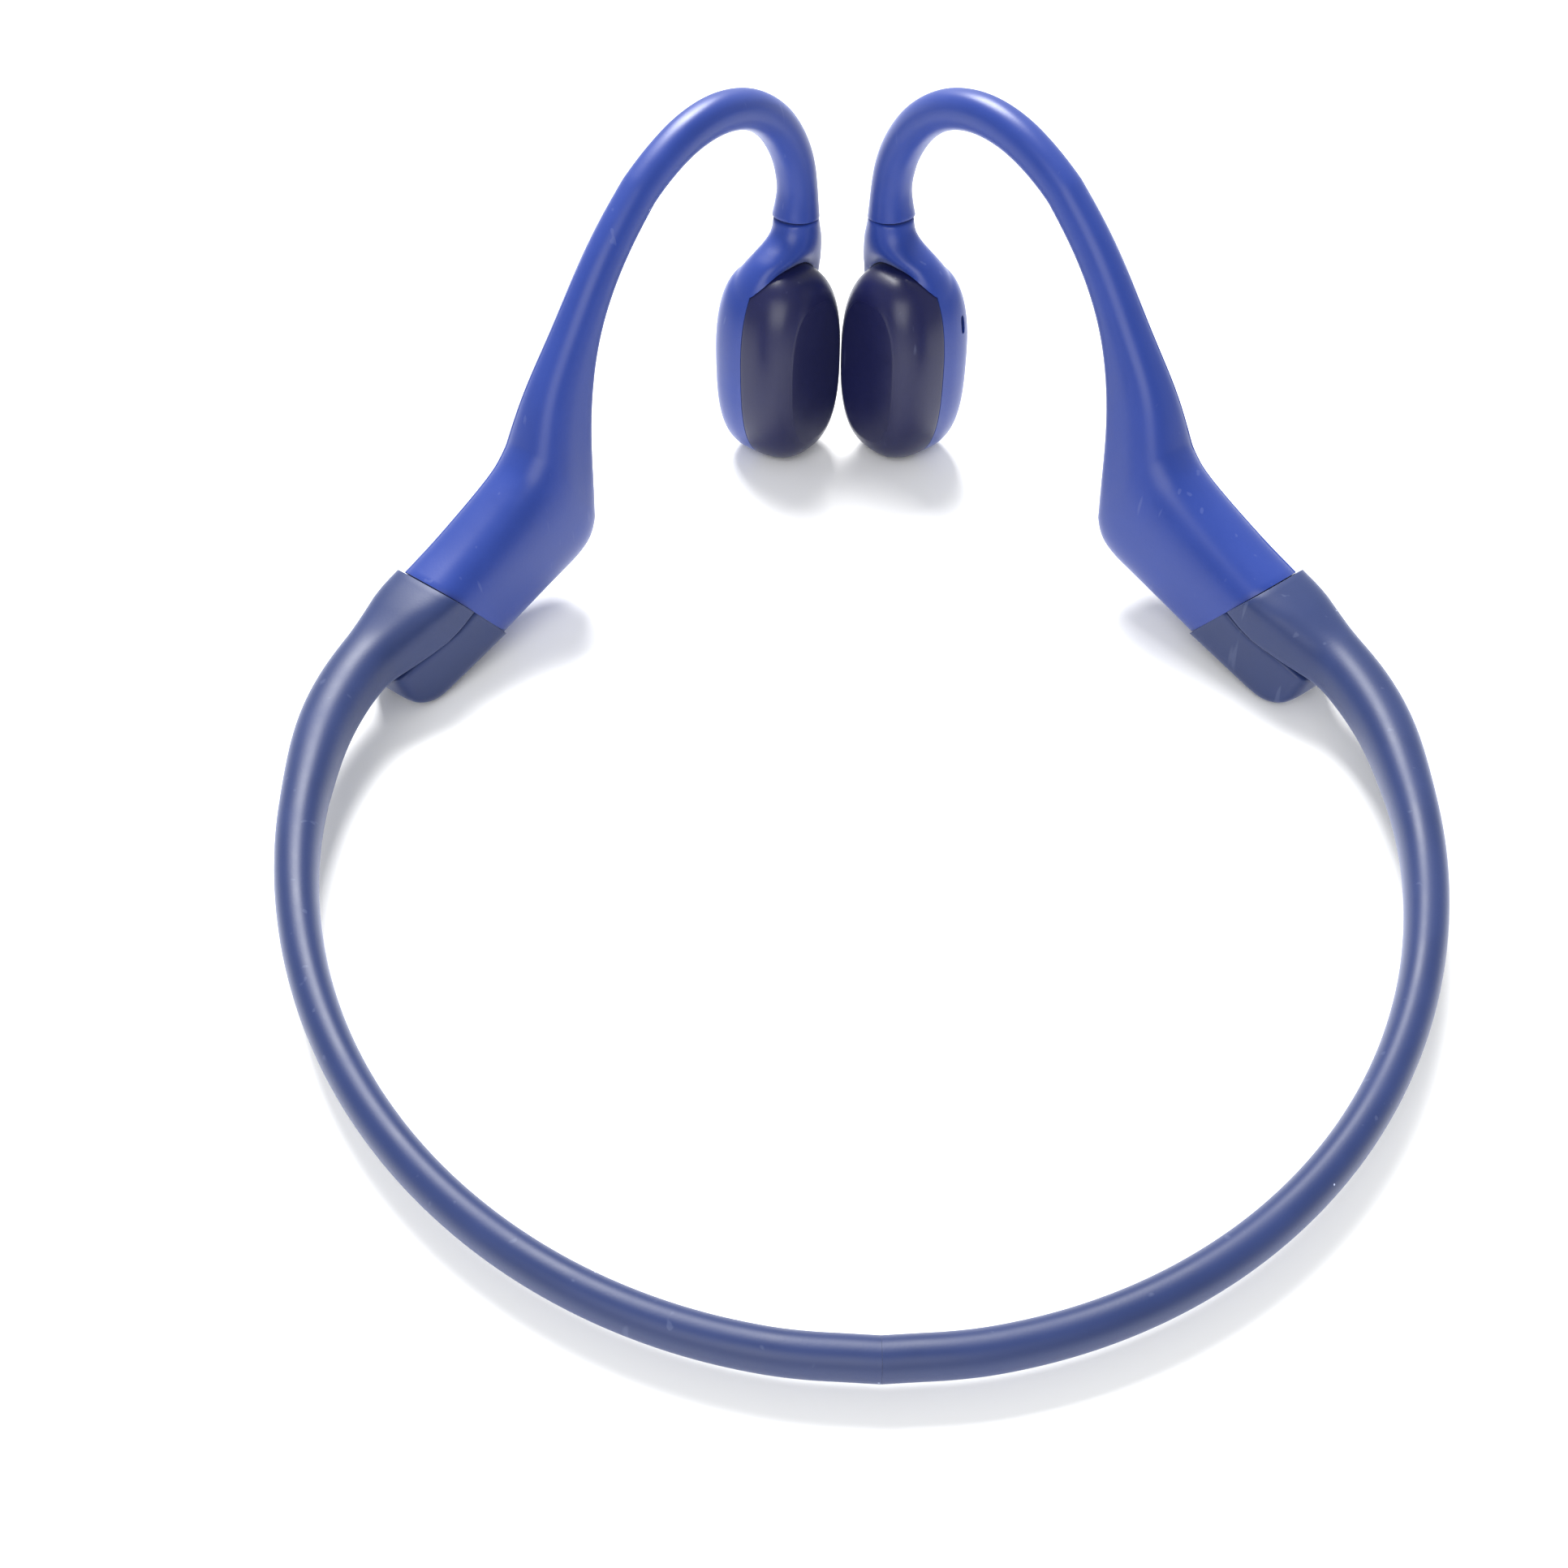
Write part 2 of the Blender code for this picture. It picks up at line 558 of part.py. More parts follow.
def make_pod_shell(side):
    """Outer half of the pod with the neck that the hook plugs into, hollow and open to the wires."""
    side_name = SIDE_NAMES[side]
    across = to_world(side, 1, 0, 0) - to_world(side, 0, 0, 0)
    through = to_world(side, 0, 1, 0) - to_world(side, 0, 0, 0)
    origin = to_world(side, POD_S, POD_N, POD_Z)
    body = loft(pod_rings(side, SHELL_RINGS, 0.0, 0.0, 1))
    shell = add_piece(f"pod_shell_{side_name}", body, BRIGHT_SILICONE, ARM_FRAMES[side], origin)
    top = 2 * POD_HALF_HEIGHT
    rings = []
    for rise, lean, depth, half_s, half_n in NECK_RINGS:
        centre = to_world(side, POD_S + lean * MM, POD_N + depth * MM, top + rise * MM)
        rings.append(ring(centre, across, through, half_s * NECK_HALF, half_n * NECK_HALF, TUBE_POWER,
                          RING_POINTS))
    for rise, half_s in SADDLE_RINGS:
        centre = to_world(side, POD_S + SADDLE_LEAN, POD_N + SADDLE_HALF + GAP, top + rise * MM)
        rings.append(ring(centre, across, through, half_s * NECK_HALF, SADDLE_HALF, TUBE_POWER, RING_POINTS))
    neck = add_piece(f"neck_{side_name}", loft(rings), BRIGHT_SILICONE, ARM_FRAMES[side], origin, CUTTERS)
    hollow_rings = pod_rings(side, (HOLLOW_MOUTH, *SHELL_RINGS[1:HOLLOW_RINGS]), SHELL_WALL, SHELL_WALL, 1)
    hollow = add_piece(f"pod_hollow_{side_name}", loft(hollow_rings), BRIGHT_SILICONE, ARM_FRAMES[side],
                       origin, CUTTERS)
    path = hook_path(HOOK_SAMPLES)
    s, n, z = path[-1]
    start = (s - NECK_SLOPE * NECK_PROUD, n, z + NECK_PROUD)
    bend = (s + NECK_SLOPE * NECK_DROP, n, z - NECK_DROP)
    inside = (POD_S + SADDLE_LEAN, POD_N + SADDLE_HALF, top - BORE_DEPTH)
    bore_rings = tube_rings(side, [start, (s, n, z), bend, inside], [CHANNEL_HALF[0]] * 4,
                            [CHANNEL_HALF[1]] * 4, TUBE_POINTS)
    bore = add_piece(f"neck_bore_{side_name}", loft(bore_rings), BRIGHT_SILICONE, ARM_FRAMES[side], origin,
                     CUTTERS)
    add_boolean(shell, neck, "UNION")
    add_boolean(shell, hollow, "DIFFERENCE")
    add_boolean(shell, bore, "DIFFERENCE")
    return shell


def add_boolean(piece, tool, operation):
    """Cut or join a piece with a tool that stays out of the model."""
    tool.hide_render = True
    tool.display_type = "WIRE"
    step = piece.modifiers.new(f"{operation.lower()}_{tool.name}", "BOOLEAN")
    step.operation = operation
    step.object = tool


def arm_block(size, place, pitch=0.0):
    """A block in an arm's plane: length along s, thickness along n, height along z, then its pitch."""
    bm = bmesh.new()
    bmesh.ops.create_cube(bm, size=1.0)
    bmesh.ops.scale(bm, vec=Vector(size), verts=bm.verts)
    bmesh.ops.rotate(bm, verts=bm.verts, cent=(0, 0, 0), matrix=Matrix.Rotation(-pitch, 3, "Y"))
    bmesh.ops.translate(bm, verts=bm.verts, vec=Vector(place))
    return bm


def arm_rod(radius, length, place, toward, count=20):
    """A round rod in an arm's plane with its axis along n, or square to the pitched box floor."""
    bm = bmesh.new()
    bmesh.ops.create_cone(bm, cap_ends=True, segments=count, radius1=radius, radius2=radius, depth=length)
    if toward == "n":
        turn = Matrix.Rotation(math.pi / 2, 3, "X")
    else:
        turn = Matrix.Rotation(-toward, 3, "Y")
    bmesh.ops.rotate(bm, verts=bm.verts, cent=(0, 0, 0), matrix=turn)
    bmesh.ops.translate(bm, verts=bm.verts, vec=Vector(place))
    return bm


def finish_arm_piece(name, bm, finish, side, place, collection=PIECES):
    """Carry a mesh made in an arm's plane into the world as a piece."""
    for vertex in bm.verts:
        vertex.co = to_world(side, *vertex.co)
    return add_piece(name, bm, finish, ARM_FRAMES[side], to_world(side, *place), collection)


def in_box(x, n, up, pitch=BOX_PITCH):
    """A point of the control box: x along its floor, n outward, up square to the floor."""
    s = BOX_MIDDLE[0] + x * math.cos(pitch) - up * math.sin(pitch)
    z = BOX_MIDDLE[1] + x * math.sin(pitch) + up * math.cos(pitch)
    return (s, n, z)


BOX_MIDDLE = (0.525 * BOX_LENGTH, 0.49 * BOX_HEIGHT)
FLOOR_UP = -0.317 * BOX_HEIGHT
INNER_HALF = BOX_THICKNESS / 2 - BOX_WALL
CHASSIS_THICKNESS = 0.6 * MM
BOARD_THICKNESS = 0.8 * MM
CHASSIS_N = INNER_HALF - 2 * GAP - CHASSIS_THICKNESS / 2
BOARD_N = CHASSIS_N - CHASSIS_THICKNESS / 2 - 1.5 * GAP - BOARD_THICKNESS / 2
INNER_LENGTH = 0.51 * BOX_LENGTH
INNER_X = 0.018 * BOX_LENGTH
CELL_N_LOW = -INNER_HALF + 1.7 * GAP
SWITCH_UP = FLOOR_UP + BOX_WALL + 2 * GAP + BUTTON_FLANGE + BUTTON_TRAVEL
BOARD_LOW = SWITCH_UP + SWITCH_HEIGHT + 1.4 * GAP
BOARD_HIGH = 0.22 * BOX_HEIGHT


def add_block(name, size, place, finish, side, pitch=BOX_PITCH, edge=0.15 * MM):
    """A block in a control box with softened edges."""
    block = finish_arm_piece(name, arm_block(size, place, pitch), finish, side, place)
    soften = block.modifiers.new("soft_edges", "BEVEL")
    soften.width = edge
    soften.segments = 1
    return block


def make_chassis(side):
    """Moulded plate that carries what is inside the control box."""
    height = BOARD_HIGH - 0.4 * MM - (FLOOR_UP + BOX_WALL + 5 * GAP)
    middle = (BOARD_HIGH - 0.4 * MM + FLOOR_UP + BOX_WALL + 5 * GAP) / 2
    add_block(f"box_chassis_{SIDE_NAMES[side]}", (INNER_LENGTH, CHASSIS_THICKNESS, height),
              in_box(INNER_X, CHASSIS_N, middle), NYLON, side)


def make_power_pack():
    """Lithium cell and its protection board in the left control box."""
    low = FLOOR_UP + BOX_WALL + 2 * GAP
    high = BOARD_HIGH
    add_block("battery_board", (0.7 * INNER_LENGTH, BOARD_THICKNESS, 0.6 * (high - low)),
              in_box(INNER_X, BOARD_N, (low + high) / 2), BOARD, LEFT)
    cell_high = BOARD_N - BOARD_THICKNESS / 2 - GAP
    add_block("battery", (INNER_LENGTH, cell_high - CELL_N_LOW, high - low),
              in_box(INNER_X, (CELL_N_LOW + cell_high) / 2, (low + high) / 2), CELL_FILM, LEFT, edge=0.5 * MM)


def make_electronics():
    """Main board with its shielded processor and aerial in the right control box."""
    height = BOARD_HIGH - BOARD_LOW
    middle = (BOARD_HIGH + BOARD_LOW) / 2
    add_block("main_board", (INNER_LENGTH, BOARD_THICKNESS, height), in_box(INNER_X, BOARD_N, middle),
              BOARD, RIGHT)
    shield = (0.5 * INNER_LENGTH, 1.3 * MM, 0.8 * height)
    shield_n = BOARD_N - BOARD_THICKNESS / 2 - GAP - shield[1] / 2
    add_block("processor_shield", shield, in_box(INNER_X - 0.2 * INNER_LENGTH, shield_n, middle), STEEL,
              RIGHT)
    add_block("aerial", (0.22 * INNER_LENGTH, 0.9 * MM, 0.5 * height),
              in_box(INNER_X + 0.32 * INNER_LENGTH, BOARD_N - BOARD_THICKNESS / 2 - GAP - 0.45 * MM, middle),
              NYLON, RIGHT)


VOLUME_HALF = (2.1 * MM, 1.2 * MM)
VOLUME_SPACING = 7.0 * MM
PILL_POWER = 3.0
VOLUME_MIDDLE_X = 0.043 * BOX_LENGTH
FLANGE_LIP = 0.45 * MM
LIGHT_RADIUS = 0.6 * MM


def pill_rings(levels, x, pitch):
    """Rings of a pill-shaped key: level above the floor's outer face, and how much wider than the key."""
    rings = []
    for level, wider in levels:
        flat = []
        for point in ring(Vector((0, 0, 0)), Vector((1, 0, 0)), Vector((0, 1, 0)),
                          VOLUME_HALF[0] + wider, VOLUME_HALF[1] + wider, PILL_POWER, RING_POINTS):
            flat.append(Vector(in_box(x + point.x, point.y, FLOOR_UP + level, pitch)))
        rings.append(flat)
    return rings


def make_volume_key(name, x, cover):
    """One volume key in the floor of the right control box, with its hole and its switch."""
    inside = BOX_WALL + GAP
    levels = ((-BUTTON_PROUD, -0.35 * MM), (-BUTTON_PROUD + 0.25 * MM, 0.0), (inside, 0.0),
              (inside, FLANGE_LIP), (inside + BUTTON_FLANGE, FLANGE_LIP))
    place = in_box(x, 0, FLOOR_UP)
    finish_arm_piece(f"{name}_button", loft(pill_rings(levels, x, BOX_PITCH)), BLACK_PLASTIC, RIGHT, place)
    hole_levels = ((-2 * MM, GAP), (BOX_WALL + 1.5 * MM, GAP))
    hole = finish_arm_piece(f"{name}_hole", loft(pill_rings(hole_levels, x, BOX_PITCH)), BLACK_PLASTIC,
                            RIGHT, place, CUTTERS)
    add_boolean(cover, hole, "DIFFERENCE")
    add_block(f"{name}_switch", (2.4 * MM, 2.0 * MM, SWITCH_HEIGHT),
              in_box(x, 0, SWITCH_UP + SWITCH_HEIGHT / 2), BLACK_PLASTIC, RIGHT)


def make_status_light(cover):
    """Light pipe between the volume keys."""
    place = in_box(VOLUME_MIDDLE_X, 0, FLOOR_UP + 0.5 * BOX_WALL + 0.3 * MM)
    rod = arm_rod(LIGHT_RADIUS, BOX_WALL + 0.6 * MM, place, BOX_PITCH, 12)
    finish_arm_piece("status_light_pipe", rod, LIGHT_PIPE, RIGHT, place)
    cut = arm_rod(LIGHT_RADIUS + GAP, BOX_WALL + 3 * MM, place, BOX_PITCH, 12)
    hole = finish_arm_piece("status_light_hole", cut, LIGHT_PIPE, RIGHT, place, CUTTERS)
    add_boolean(cover, hole, "DIFFERENCE")


PORT_SIZE = (5.4 * MM, 4.2 * MM, 2.0 * MM)
PORT_S = 0.2 * BOX_LENGTH
CONTACT_RADIUS = 0.55 * MM
CONTACT_SPACING = 2.8 * MM


def make_charging_port(cap):
    """Magnetic charging port in the floor of the right end cap."""
    first = CAP_RINGS[0][0]
    last = CAP_RINGS[3][0]
    run = (first[0] - last[0]) * BOX_LENGTH
    climb = (first[1] - last[1]) * BOX_HEIGHT
    pitch = math.atan2(climb, run)
    floor_z = (PORT_S - last[0] * BOX_LENGTH) * climb / run

    def at(x, up):
        return (PORT_S + x * math.cos(pitch) - up * math.sin(pitch), 0.0,
                floor_z + x * math.sin(pitch) + up * math.cos(pitch))

    centre = at(0, PORT_SIZE[2] / 2)
    port = finish_arm_piece("charging_port", arm_block(PORT_SIZE, centre, pitch), BLACK_PLASTIC, RIGHT,
                            centre)
    opening = (PORT_SIZE[0] + 2 * GAP, PORT_SIZE[1] + 2 * GAP, 2 * PORT_SIZE[2])
    hole = finish_arm_piece("charging_port_hole", arm_block(opening, at(0, 0), pitch), BLACK_PLASTIC, RIGHT,
                            centre, CUTTERS)
    add_boolean(cap, hole, "DIFFERENCE")
    for name, x in (("rear", -CONTACT_SPACING / 2), ("front", CONTACT_SPACING / 2)):
        place = at(x, PORT_SIZE[2] / 2)
        finish_arm_piece(f"charging_contact_{name}", arm_rod(CONTACT_RADIUS, PORT_SIZE[2], place, pitch, 12),
                         GOLD, RIGHT, place)
        bore = finish_arm_piece(f"contact_bore_{name}",
                                arm_rod(CONTACT_RADIUS + GAP, 2 * PORT_SIZE[2], place, pitch, 12),
                                GOLD, RIGHT, place, CUTTERS)
        add_boolean(port, bore, "DIFFERENCE")
    magnet = at(0, PORT_SIZE[2] + GAP + 0.5 * MM)
    finish_arm_piece("charging_magnet", arm_block((4.4 * MM, 3.2 * MM, 1.0 * MM), magnet, pitch), MAGNET,
                     RIGHT, magnet)


TRANSDUCER_RADIUS = 4.6 * MM
YOKE_WALL = 0.6 * MM
YOKE_FLOOR = 0.7 * MM
KEY_SWITCH_HEIGHT = 0.9 * MM
KEY_BOARD_THICKNESS = 0.5 * MM
KEY_SWITCH_TOP = POD_HALF_DEPTH - SHELL_WALL - 2 * GAP - BUTTON_FLANGE - BUTTON_TRAVEL
KEY_BOARD_TOP = KEY_SWITCH_TOP - KEY_SWITCH_HEIGHT - GAP
PLATE_TO_PAD = 0.65 * MM
PLATE_THICKNESS = 0.4 * MM
YOKE_FRONT = PAD_WALL + PLATE_TO_PAD + PLATE_THICKNESS + 3 * GAP - POD_HALF_DEPTH
# The yoke takes this share of the room between the spring plate and the key's board.
YOKE_SHARE = 0.7191
YOKE_BACK = YOKE_FRONT + YOKE_SHARE * (KEY_BOARD_TOP - KEY_BOARD_THICKNESS - YOKE_FRONT)
MAGNET_RADIUS = 2.4 * MM
COIL_RADII = (2.9 * MM, 3.5 * MM)
PLATE_RADIUS = 4.9 * MM


def round_rings(side, table, count=20):
    """Circles round the transducer's axis: depth from the pod's middle plane, and radius."""
    across = to_world(side, 1, 0, 0) - to_world(side, 0, 0, 0)
    rings = []
    for depth, radius in table:
        centre = to_world(side, POD_S, POD_N + depth, POD_Z)
        rings.append(ring(centre, across, Vector((0, 0, 1)), radius, radius, 2.0, count))
    return rings


def make_transducer(side):
    """The driver behind the pad: frame, steel yoke, magnet, moving coil and its spring plate."""
    side_name = SIDE_NAMES[side]
    parent = ARM_FRAMES[side]
    origin = to_world(side, POD_S, POD_N, POD_Z)
    bore = TRANSDUCER_RADIUS - YOKE_WALL
    yoke = ((YOKE_BACK - YOKE_FLOOR, bore), (YOKE_FRONT, bore), (YOKE_FRONT, TRANSDUCER_RADIUS),
            (YOKE_BACK, TRANSDUCER_RADIUS))
    add_piece(f"transducer_yoke_{side_name}", loft(round_rings(side, yoke)), STEEL, parent, origin)
    seat = YOKE_BACK - YOKE_FLOOR - GAP
    magnet = ((seat, MAGNET_RADIUS), (YOKE_FRONT + GAP, MAGNET_RADIUS))
    add_piece(f"transducer_magnet_{side_name}", loft(round_rings(side, magnet)), MAGNET, parent, origin)
    coil_back = seat - 0.5 * MM
    coil_front = YOKE_FRONT - 2 * GAP
    coil = ((coil_back, COIL_RADII[0]), (coil_front, COIL_RADII[0]), (coil_front, COIL_RADII[1]),
            (coil_back, COIL_RADII[1]))
    add_piece(f"voice_coil_{side_name}", loft(round_rings(side, coil), looped=True), COPPER, parent, origin)
    plate_back = coil_front - GAP
    plate = ((plate_back, PLATE_RADIUS), (plate_back - PLATE_THICKNESS, PLATE_RADIUS))
    add_piece(f"vibration_plate_{side_name}", loft(round_rings(side, plate)), STEEL, parent, origin)
    across = to_world(side, 1, 0, 0) - to_world(side, 0, 0, 0)
    rings = []
    for depth, inner in ((-0.2 * MM, True), (-0.8 * MM, True), (-0.8 * MM, False), (-0.2 * MM, False)):
        centre = to_world(side, POD_S, POD_N + depth, POD_Z)
        half_s = TRANSDUCER_RADIUS + GAP if inner else POD_HALF_WIDTH - PAD_WALL - GAP
        half_z = TRANSDUCER_RADIUS + GAP if inner else POD_HALF_HEIGHT - PAD_WALL - 2 * GAP
        rings.append(ring(centre, across, Vector((0, 0, 1)), half_s, half_z, 2.0 if inner else POD_POWER,
                          POD_POINTS))
    add_piece(f"transducer_frame_{side_name}", loft(rings, looped=True), NYLON, parent, origin)


KEY_RADIUS = 3.1 * MM


def make_multifunction_key(shell):
    """Round key on the outside of the left pod, with its hole, switch and board."""
    face = POD_HALF_DEPTH
    inside = face - SHELL_WALL - GAP
    rings = round_rings(LEFT, ((face + BUTTON_PROUD, KEY_RADIUS - 0.4 * MM), (face + 0.2 * MM, KEY_RADIUS),
                               (inside, KEY_RADIUS), (inside, KEY_RADIUS + FLANGE_LIP),
                               (inside - BUTTON_FLANGE, KEY_RADIUS + FLANGE_LIP)))
    origin = to_world(LEFT, POD_S, POD_N + face, POD_Z)
    add_piece("multifunction_button", loft(rings), BRIGHT_SILICONE, ARM_FRAMES[LEFT], origin)
    cut = round_rings(LEFT, ((face + 2 * MM, KEY_RADIUS + GAP), (inside - 1.5 * MM, KEY_RADIUS + GAP)))
    hole = add_piece("multifunction_hole", loft(cut), BLACK_PLASTIC, ARM_FRAMES[LEFT], origin, CUTTERS)
    add_boolean(shell, hole, "DIFFERENCE")
    switch_place = (POD_S, POD_N + KEY_SWITCH_TOP - KEY_SWITCH_HEIGHT / 2, POD_Z)
    add_block("multifunction_switch", (2.8 * MM, KEY_SWITCH_HEIGHT, 2.8 * MM), switch_place, BLACK_PLASTIC,
              LEFT, 0.0)
    board_place = (POD_S, POD_N + KEY_BOARD_TOP - KEY_BOARD_THICKNESS / 2, POD_Z)
    disc = arm_rod(3.8 * MM, KEY_BOARD_THICKNESS, board_place, "n")
    finish_arm_piece("multifunction_board", disc, BOARD, LEFT, board_place)


# Depths of the capsule and of its slot, as shares of the pod's.
MICROPHONE_DEPTH = 0.45
SLOT_DEPTH = 0.58


def make_microphone(shell):
    """Voice microphone behind a small slot in the rear edge of the right pod's shell."""
    height = POD_Z + 0.5 * POD_HALF_HEIGHT
    depth = POD_N + MICROPHONE_DEPTH * POD_HALF_DEPTH
    slot = (POD_S - POD_HALF_WIDTH, POD_N + SLOT_DEPTH * POD_HALF_DEPTH, height)
    hole = finish_arm_piece("microphone_slot", arm_block((5 * MM, 0.8 * MM, 2.2 * MM), slot), BLACK_PLASTIC,
                            RIGHT, slot, CUTTERS)
    add_boolean(shell, hole, "DIFFERENCE")
    place = (POD_S - POD_HALF_WIDTH + SHELL_WALL + 3.1 * MM, depth, height)
    add_block("microphone", (1.2 * MM, 2.2 * MM, 3.0 * MM), place, STEEL, RIGHT, 0.0)


def centre_on_origin():
    """Slide the whole model so that the middle of its box is over the origin."""
    bpy.context.view_layer.update()
    heights = []
    for piece in PIECES.objects:
        if piece.type != "EMPTY":
            heights += [(piece.matrix_world @ Vector(corner)).y for corner in piece.bound_box]
    ROOT.location.y = -(min(heights) + max(heights)) / 2


make_band_centre()
make_band_wires()
covers = {}
caps = {}
shells = {}
for arm in (RIGHT, LEFT):
    make_band_flank(arm)
    covers[arm] = make_hook_cover(arm)
    caps[arm] = make_end_cap(arm)
    shells[arm] = make_pod_shell(arm)
    make_face_pad(arm)
    make_hook_wires(arm)
    make_chassis(arm)
    make_transducer(arm)
make_power_pack()
make_multifunction_key(shells[LEFT])
make_electronics()
make_volume_key("volume_down", VOLUME_MIDDLE_X - VOLUME_SPACING / 2, covers[RIGHT])
make_volume_key("volume_up", VOLUME_MIDDLE_X + VOLUME_SPACING / 2, covers[RIGHT])
make_status_light(covers[RIGHT])
make_charging_port(caps[RIGHT])
make_microphone(shells[RIGHT])
centre_on_origin()
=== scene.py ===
import math

import bmesh
import bpy
import numpy as np
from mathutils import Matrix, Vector


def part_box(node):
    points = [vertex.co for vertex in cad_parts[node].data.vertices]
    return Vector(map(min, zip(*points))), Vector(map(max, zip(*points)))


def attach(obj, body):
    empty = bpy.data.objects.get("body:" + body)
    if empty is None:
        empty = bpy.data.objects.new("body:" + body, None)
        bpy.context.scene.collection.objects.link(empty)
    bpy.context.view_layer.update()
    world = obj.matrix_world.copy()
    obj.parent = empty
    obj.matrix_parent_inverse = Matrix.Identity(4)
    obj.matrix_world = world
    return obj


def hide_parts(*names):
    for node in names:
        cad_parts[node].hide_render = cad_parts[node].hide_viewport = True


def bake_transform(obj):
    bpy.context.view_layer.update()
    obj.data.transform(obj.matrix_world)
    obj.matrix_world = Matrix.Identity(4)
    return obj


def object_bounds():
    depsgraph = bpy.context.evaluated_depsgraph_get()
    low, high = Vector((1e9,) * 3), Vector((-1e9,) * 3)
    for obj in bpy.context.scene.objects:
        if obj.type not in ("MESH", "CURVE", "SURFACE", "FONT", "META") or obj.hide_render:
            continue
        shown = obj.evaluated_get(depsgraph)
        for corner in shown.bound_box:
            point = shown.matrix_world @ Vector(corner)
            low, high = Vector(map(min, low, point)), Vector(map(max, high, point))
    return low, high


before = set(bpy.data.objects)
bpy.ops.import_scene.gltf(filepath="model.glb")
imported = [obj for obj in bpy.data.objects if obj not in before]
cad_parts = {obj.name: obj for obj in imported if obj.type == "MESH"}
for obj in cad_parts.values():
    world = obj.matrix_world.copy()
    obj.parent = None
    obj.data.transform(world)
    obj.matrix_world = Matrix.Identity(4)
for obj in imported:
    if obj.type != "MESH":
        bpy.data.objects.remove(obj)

CAD_BOX = [list(corner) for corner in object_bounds()]
MM = 0.001

# ---------------------------------------------------------------------------------------------------
# Table, camera and soft lights.
# The headphones stand on a white laminate table top in a bright room, with a wide window
# beyond them and the room's own light behind the camera, which looks down on them from behind the neck.


def linear(code):
    """An sRGB hex colour as linear values with full alpha."""
    parts = [int(code[i:i + 2], 16) / 255 for i in (0, 2, 4)]
    return [p / 12.92 if p <= 0.04045 else ((p + 0.055) / 1.055) ** 2.4 for p in parts] + [1.0]


def add_node(tree, kind, inputs=None, **settings):
    """Add one node; an input given a socket is linked to it, and any other value is set."""
    node = tree.nodes.new(kind)
    for name, value in settings.items():
        setattr(node, name, value)
    for name, value in (inputs or {}).items():
        if isinstance(value, bpy.types.NodeSocket):
            tree.links.new(value, node.inputs[name])
        else:
            node.inputs[name].default_value = value
    return node


def start_material(name, roughness, metallic=0.0, ior=1.5):
    """A material with its shader's own numbers set; returns the material, its tree and its shader."""
    made = bpy.data.materials.new(name)
    made.use_nodes = True
    shader = made.node_tree.nodes["Principled BSDF"]
    shader.inputs["Roughness"].default_value = roughness
    shader.inputs["Metallic"].default_value = metallic
    shader.inputs["IOR"].default_value = ior
    return made, made.node_tree, shader


# White laminate, pressed against a satin plate: almost flat, with a faint cloudiness.
laminate, tree, shader = start_material("white_laminate", 0.45)
place = add_node(tree, "ShaderNodeTexCoord")
cloud = add_node(tree, "ShaderNodeTexNoise", {"Vector": place.outputs["Object"], "Scale": 9.0,
                                              "Detail": 3.0})
tone = add_node(tree, "ShaderNodeMix", {"Factor": cloud.outputs["Fac"], "A": linear("F7F7F6"),
                                        "B": linear("FBFBFA")}, data_type="RGBA")
tree.links.new(tone.outputs["Result"], shader.inputs["Base Color"])

bm = bmesh.new()
bmesh.ops.create_grid(bm, x_segments=8, y_segments=8, size=1.6)
mesh = bpy.data.meshes.new("table_top")
bm.to_mesh(mesh)
bm.free()
mesh.materials.append(laminate)
table_top = bpy.data.objects.new("table_top", mesh)
bpy.context.scene.collection.objects.link(table_top)

REAR_Y = CAD_BOX[0][1] + 1.45 * MM
CAMERA_PLACE = (-7.08 * MM, REAR_Y - 51.5 * MM, 114.2 * MM)
CAMERA_TILT = math.radians(45)
camera_data = bpy.data.cameras.new("camera")
camera_data.lens = 36.1
camera_data.sensor_width = 36.0
camera = bpy.data.objects.new("camera", camera_data)
camera.location = CAMERA_PLACE
camera.rotation_euler = (CAMERA_TILT, 0, 0)
bpy.context.scene.collection.objects.link(camera)
bpy.context.scene.camera = camera

world = bpy.data.worlds.new("bright_room")
bpy.context.scene.world = world
world.use_nodes = True
world.node_tree.nodes["Background"].inputs["Color"].default_value = (0.97, 0.985, 1.0, 1.0)
world.node_tree.nodes["Background"].inputs["Strength"].default_value = 0.56
bpy.context.scene.view_settings.view_transform = "Standard"


def add_softbox(name, size, power, where, toward):
    """A square area light aimed at a point."""
    light = bpy.data.lights.new(name, "AREA")
    light.shape = "SQUARE"
    light.size = size
    light.energy = power
    lamp = bpy.data.objects.new(name, light)
    lamp.location = where
    lamp.rotation_euler = (Vector(toward) - Vector(where)).to_track_quat("-Z", "Y").to_euler()
    bpy.context.scene.collection.objects.link(lamp)


add_softbox("window_light", 0.34, 12.0, (-0.10, 0.46, 0.66), (0, 0, 0))
add_softbox("room_light", 0.60, 4.5, (-0.15, -0.60, 0.42), (0, 0, 0))

# ---------------------------------------------------------------------------------------------------
# Band sleeve, right and left.
# A soft silicone sleeve, overmoulded on the spring wire in slate blue. It is thin behind the neck,
# swells along the flanks and ends in a shoulder that lies on top of the control box.

BAND_HALF_WIDTH = 53.2 * MM
BAND_DEPTH = 57.0 * MM
BAND_REAR_Z = 3.2 * MM
BAND_FLANK_Z = 6.6 * MM
BAND_CLIMB_POWER = 1.3
BAND_REAR_HALF = np.array((1.60, 1.90)) * MM
BAND_FLANK_HALF = np.array((2.35, 2.50)) * MM
BAND_SWELL_POWER = 2.8
FLANK_DRAW = 0.1 * MM
# The way the band leaves its root: out, forward and up, and how far it keeps to that.
ROOT_AIM = (0.53, -0.84, -0.1)
ROOT_REACH = 3.2 * MM
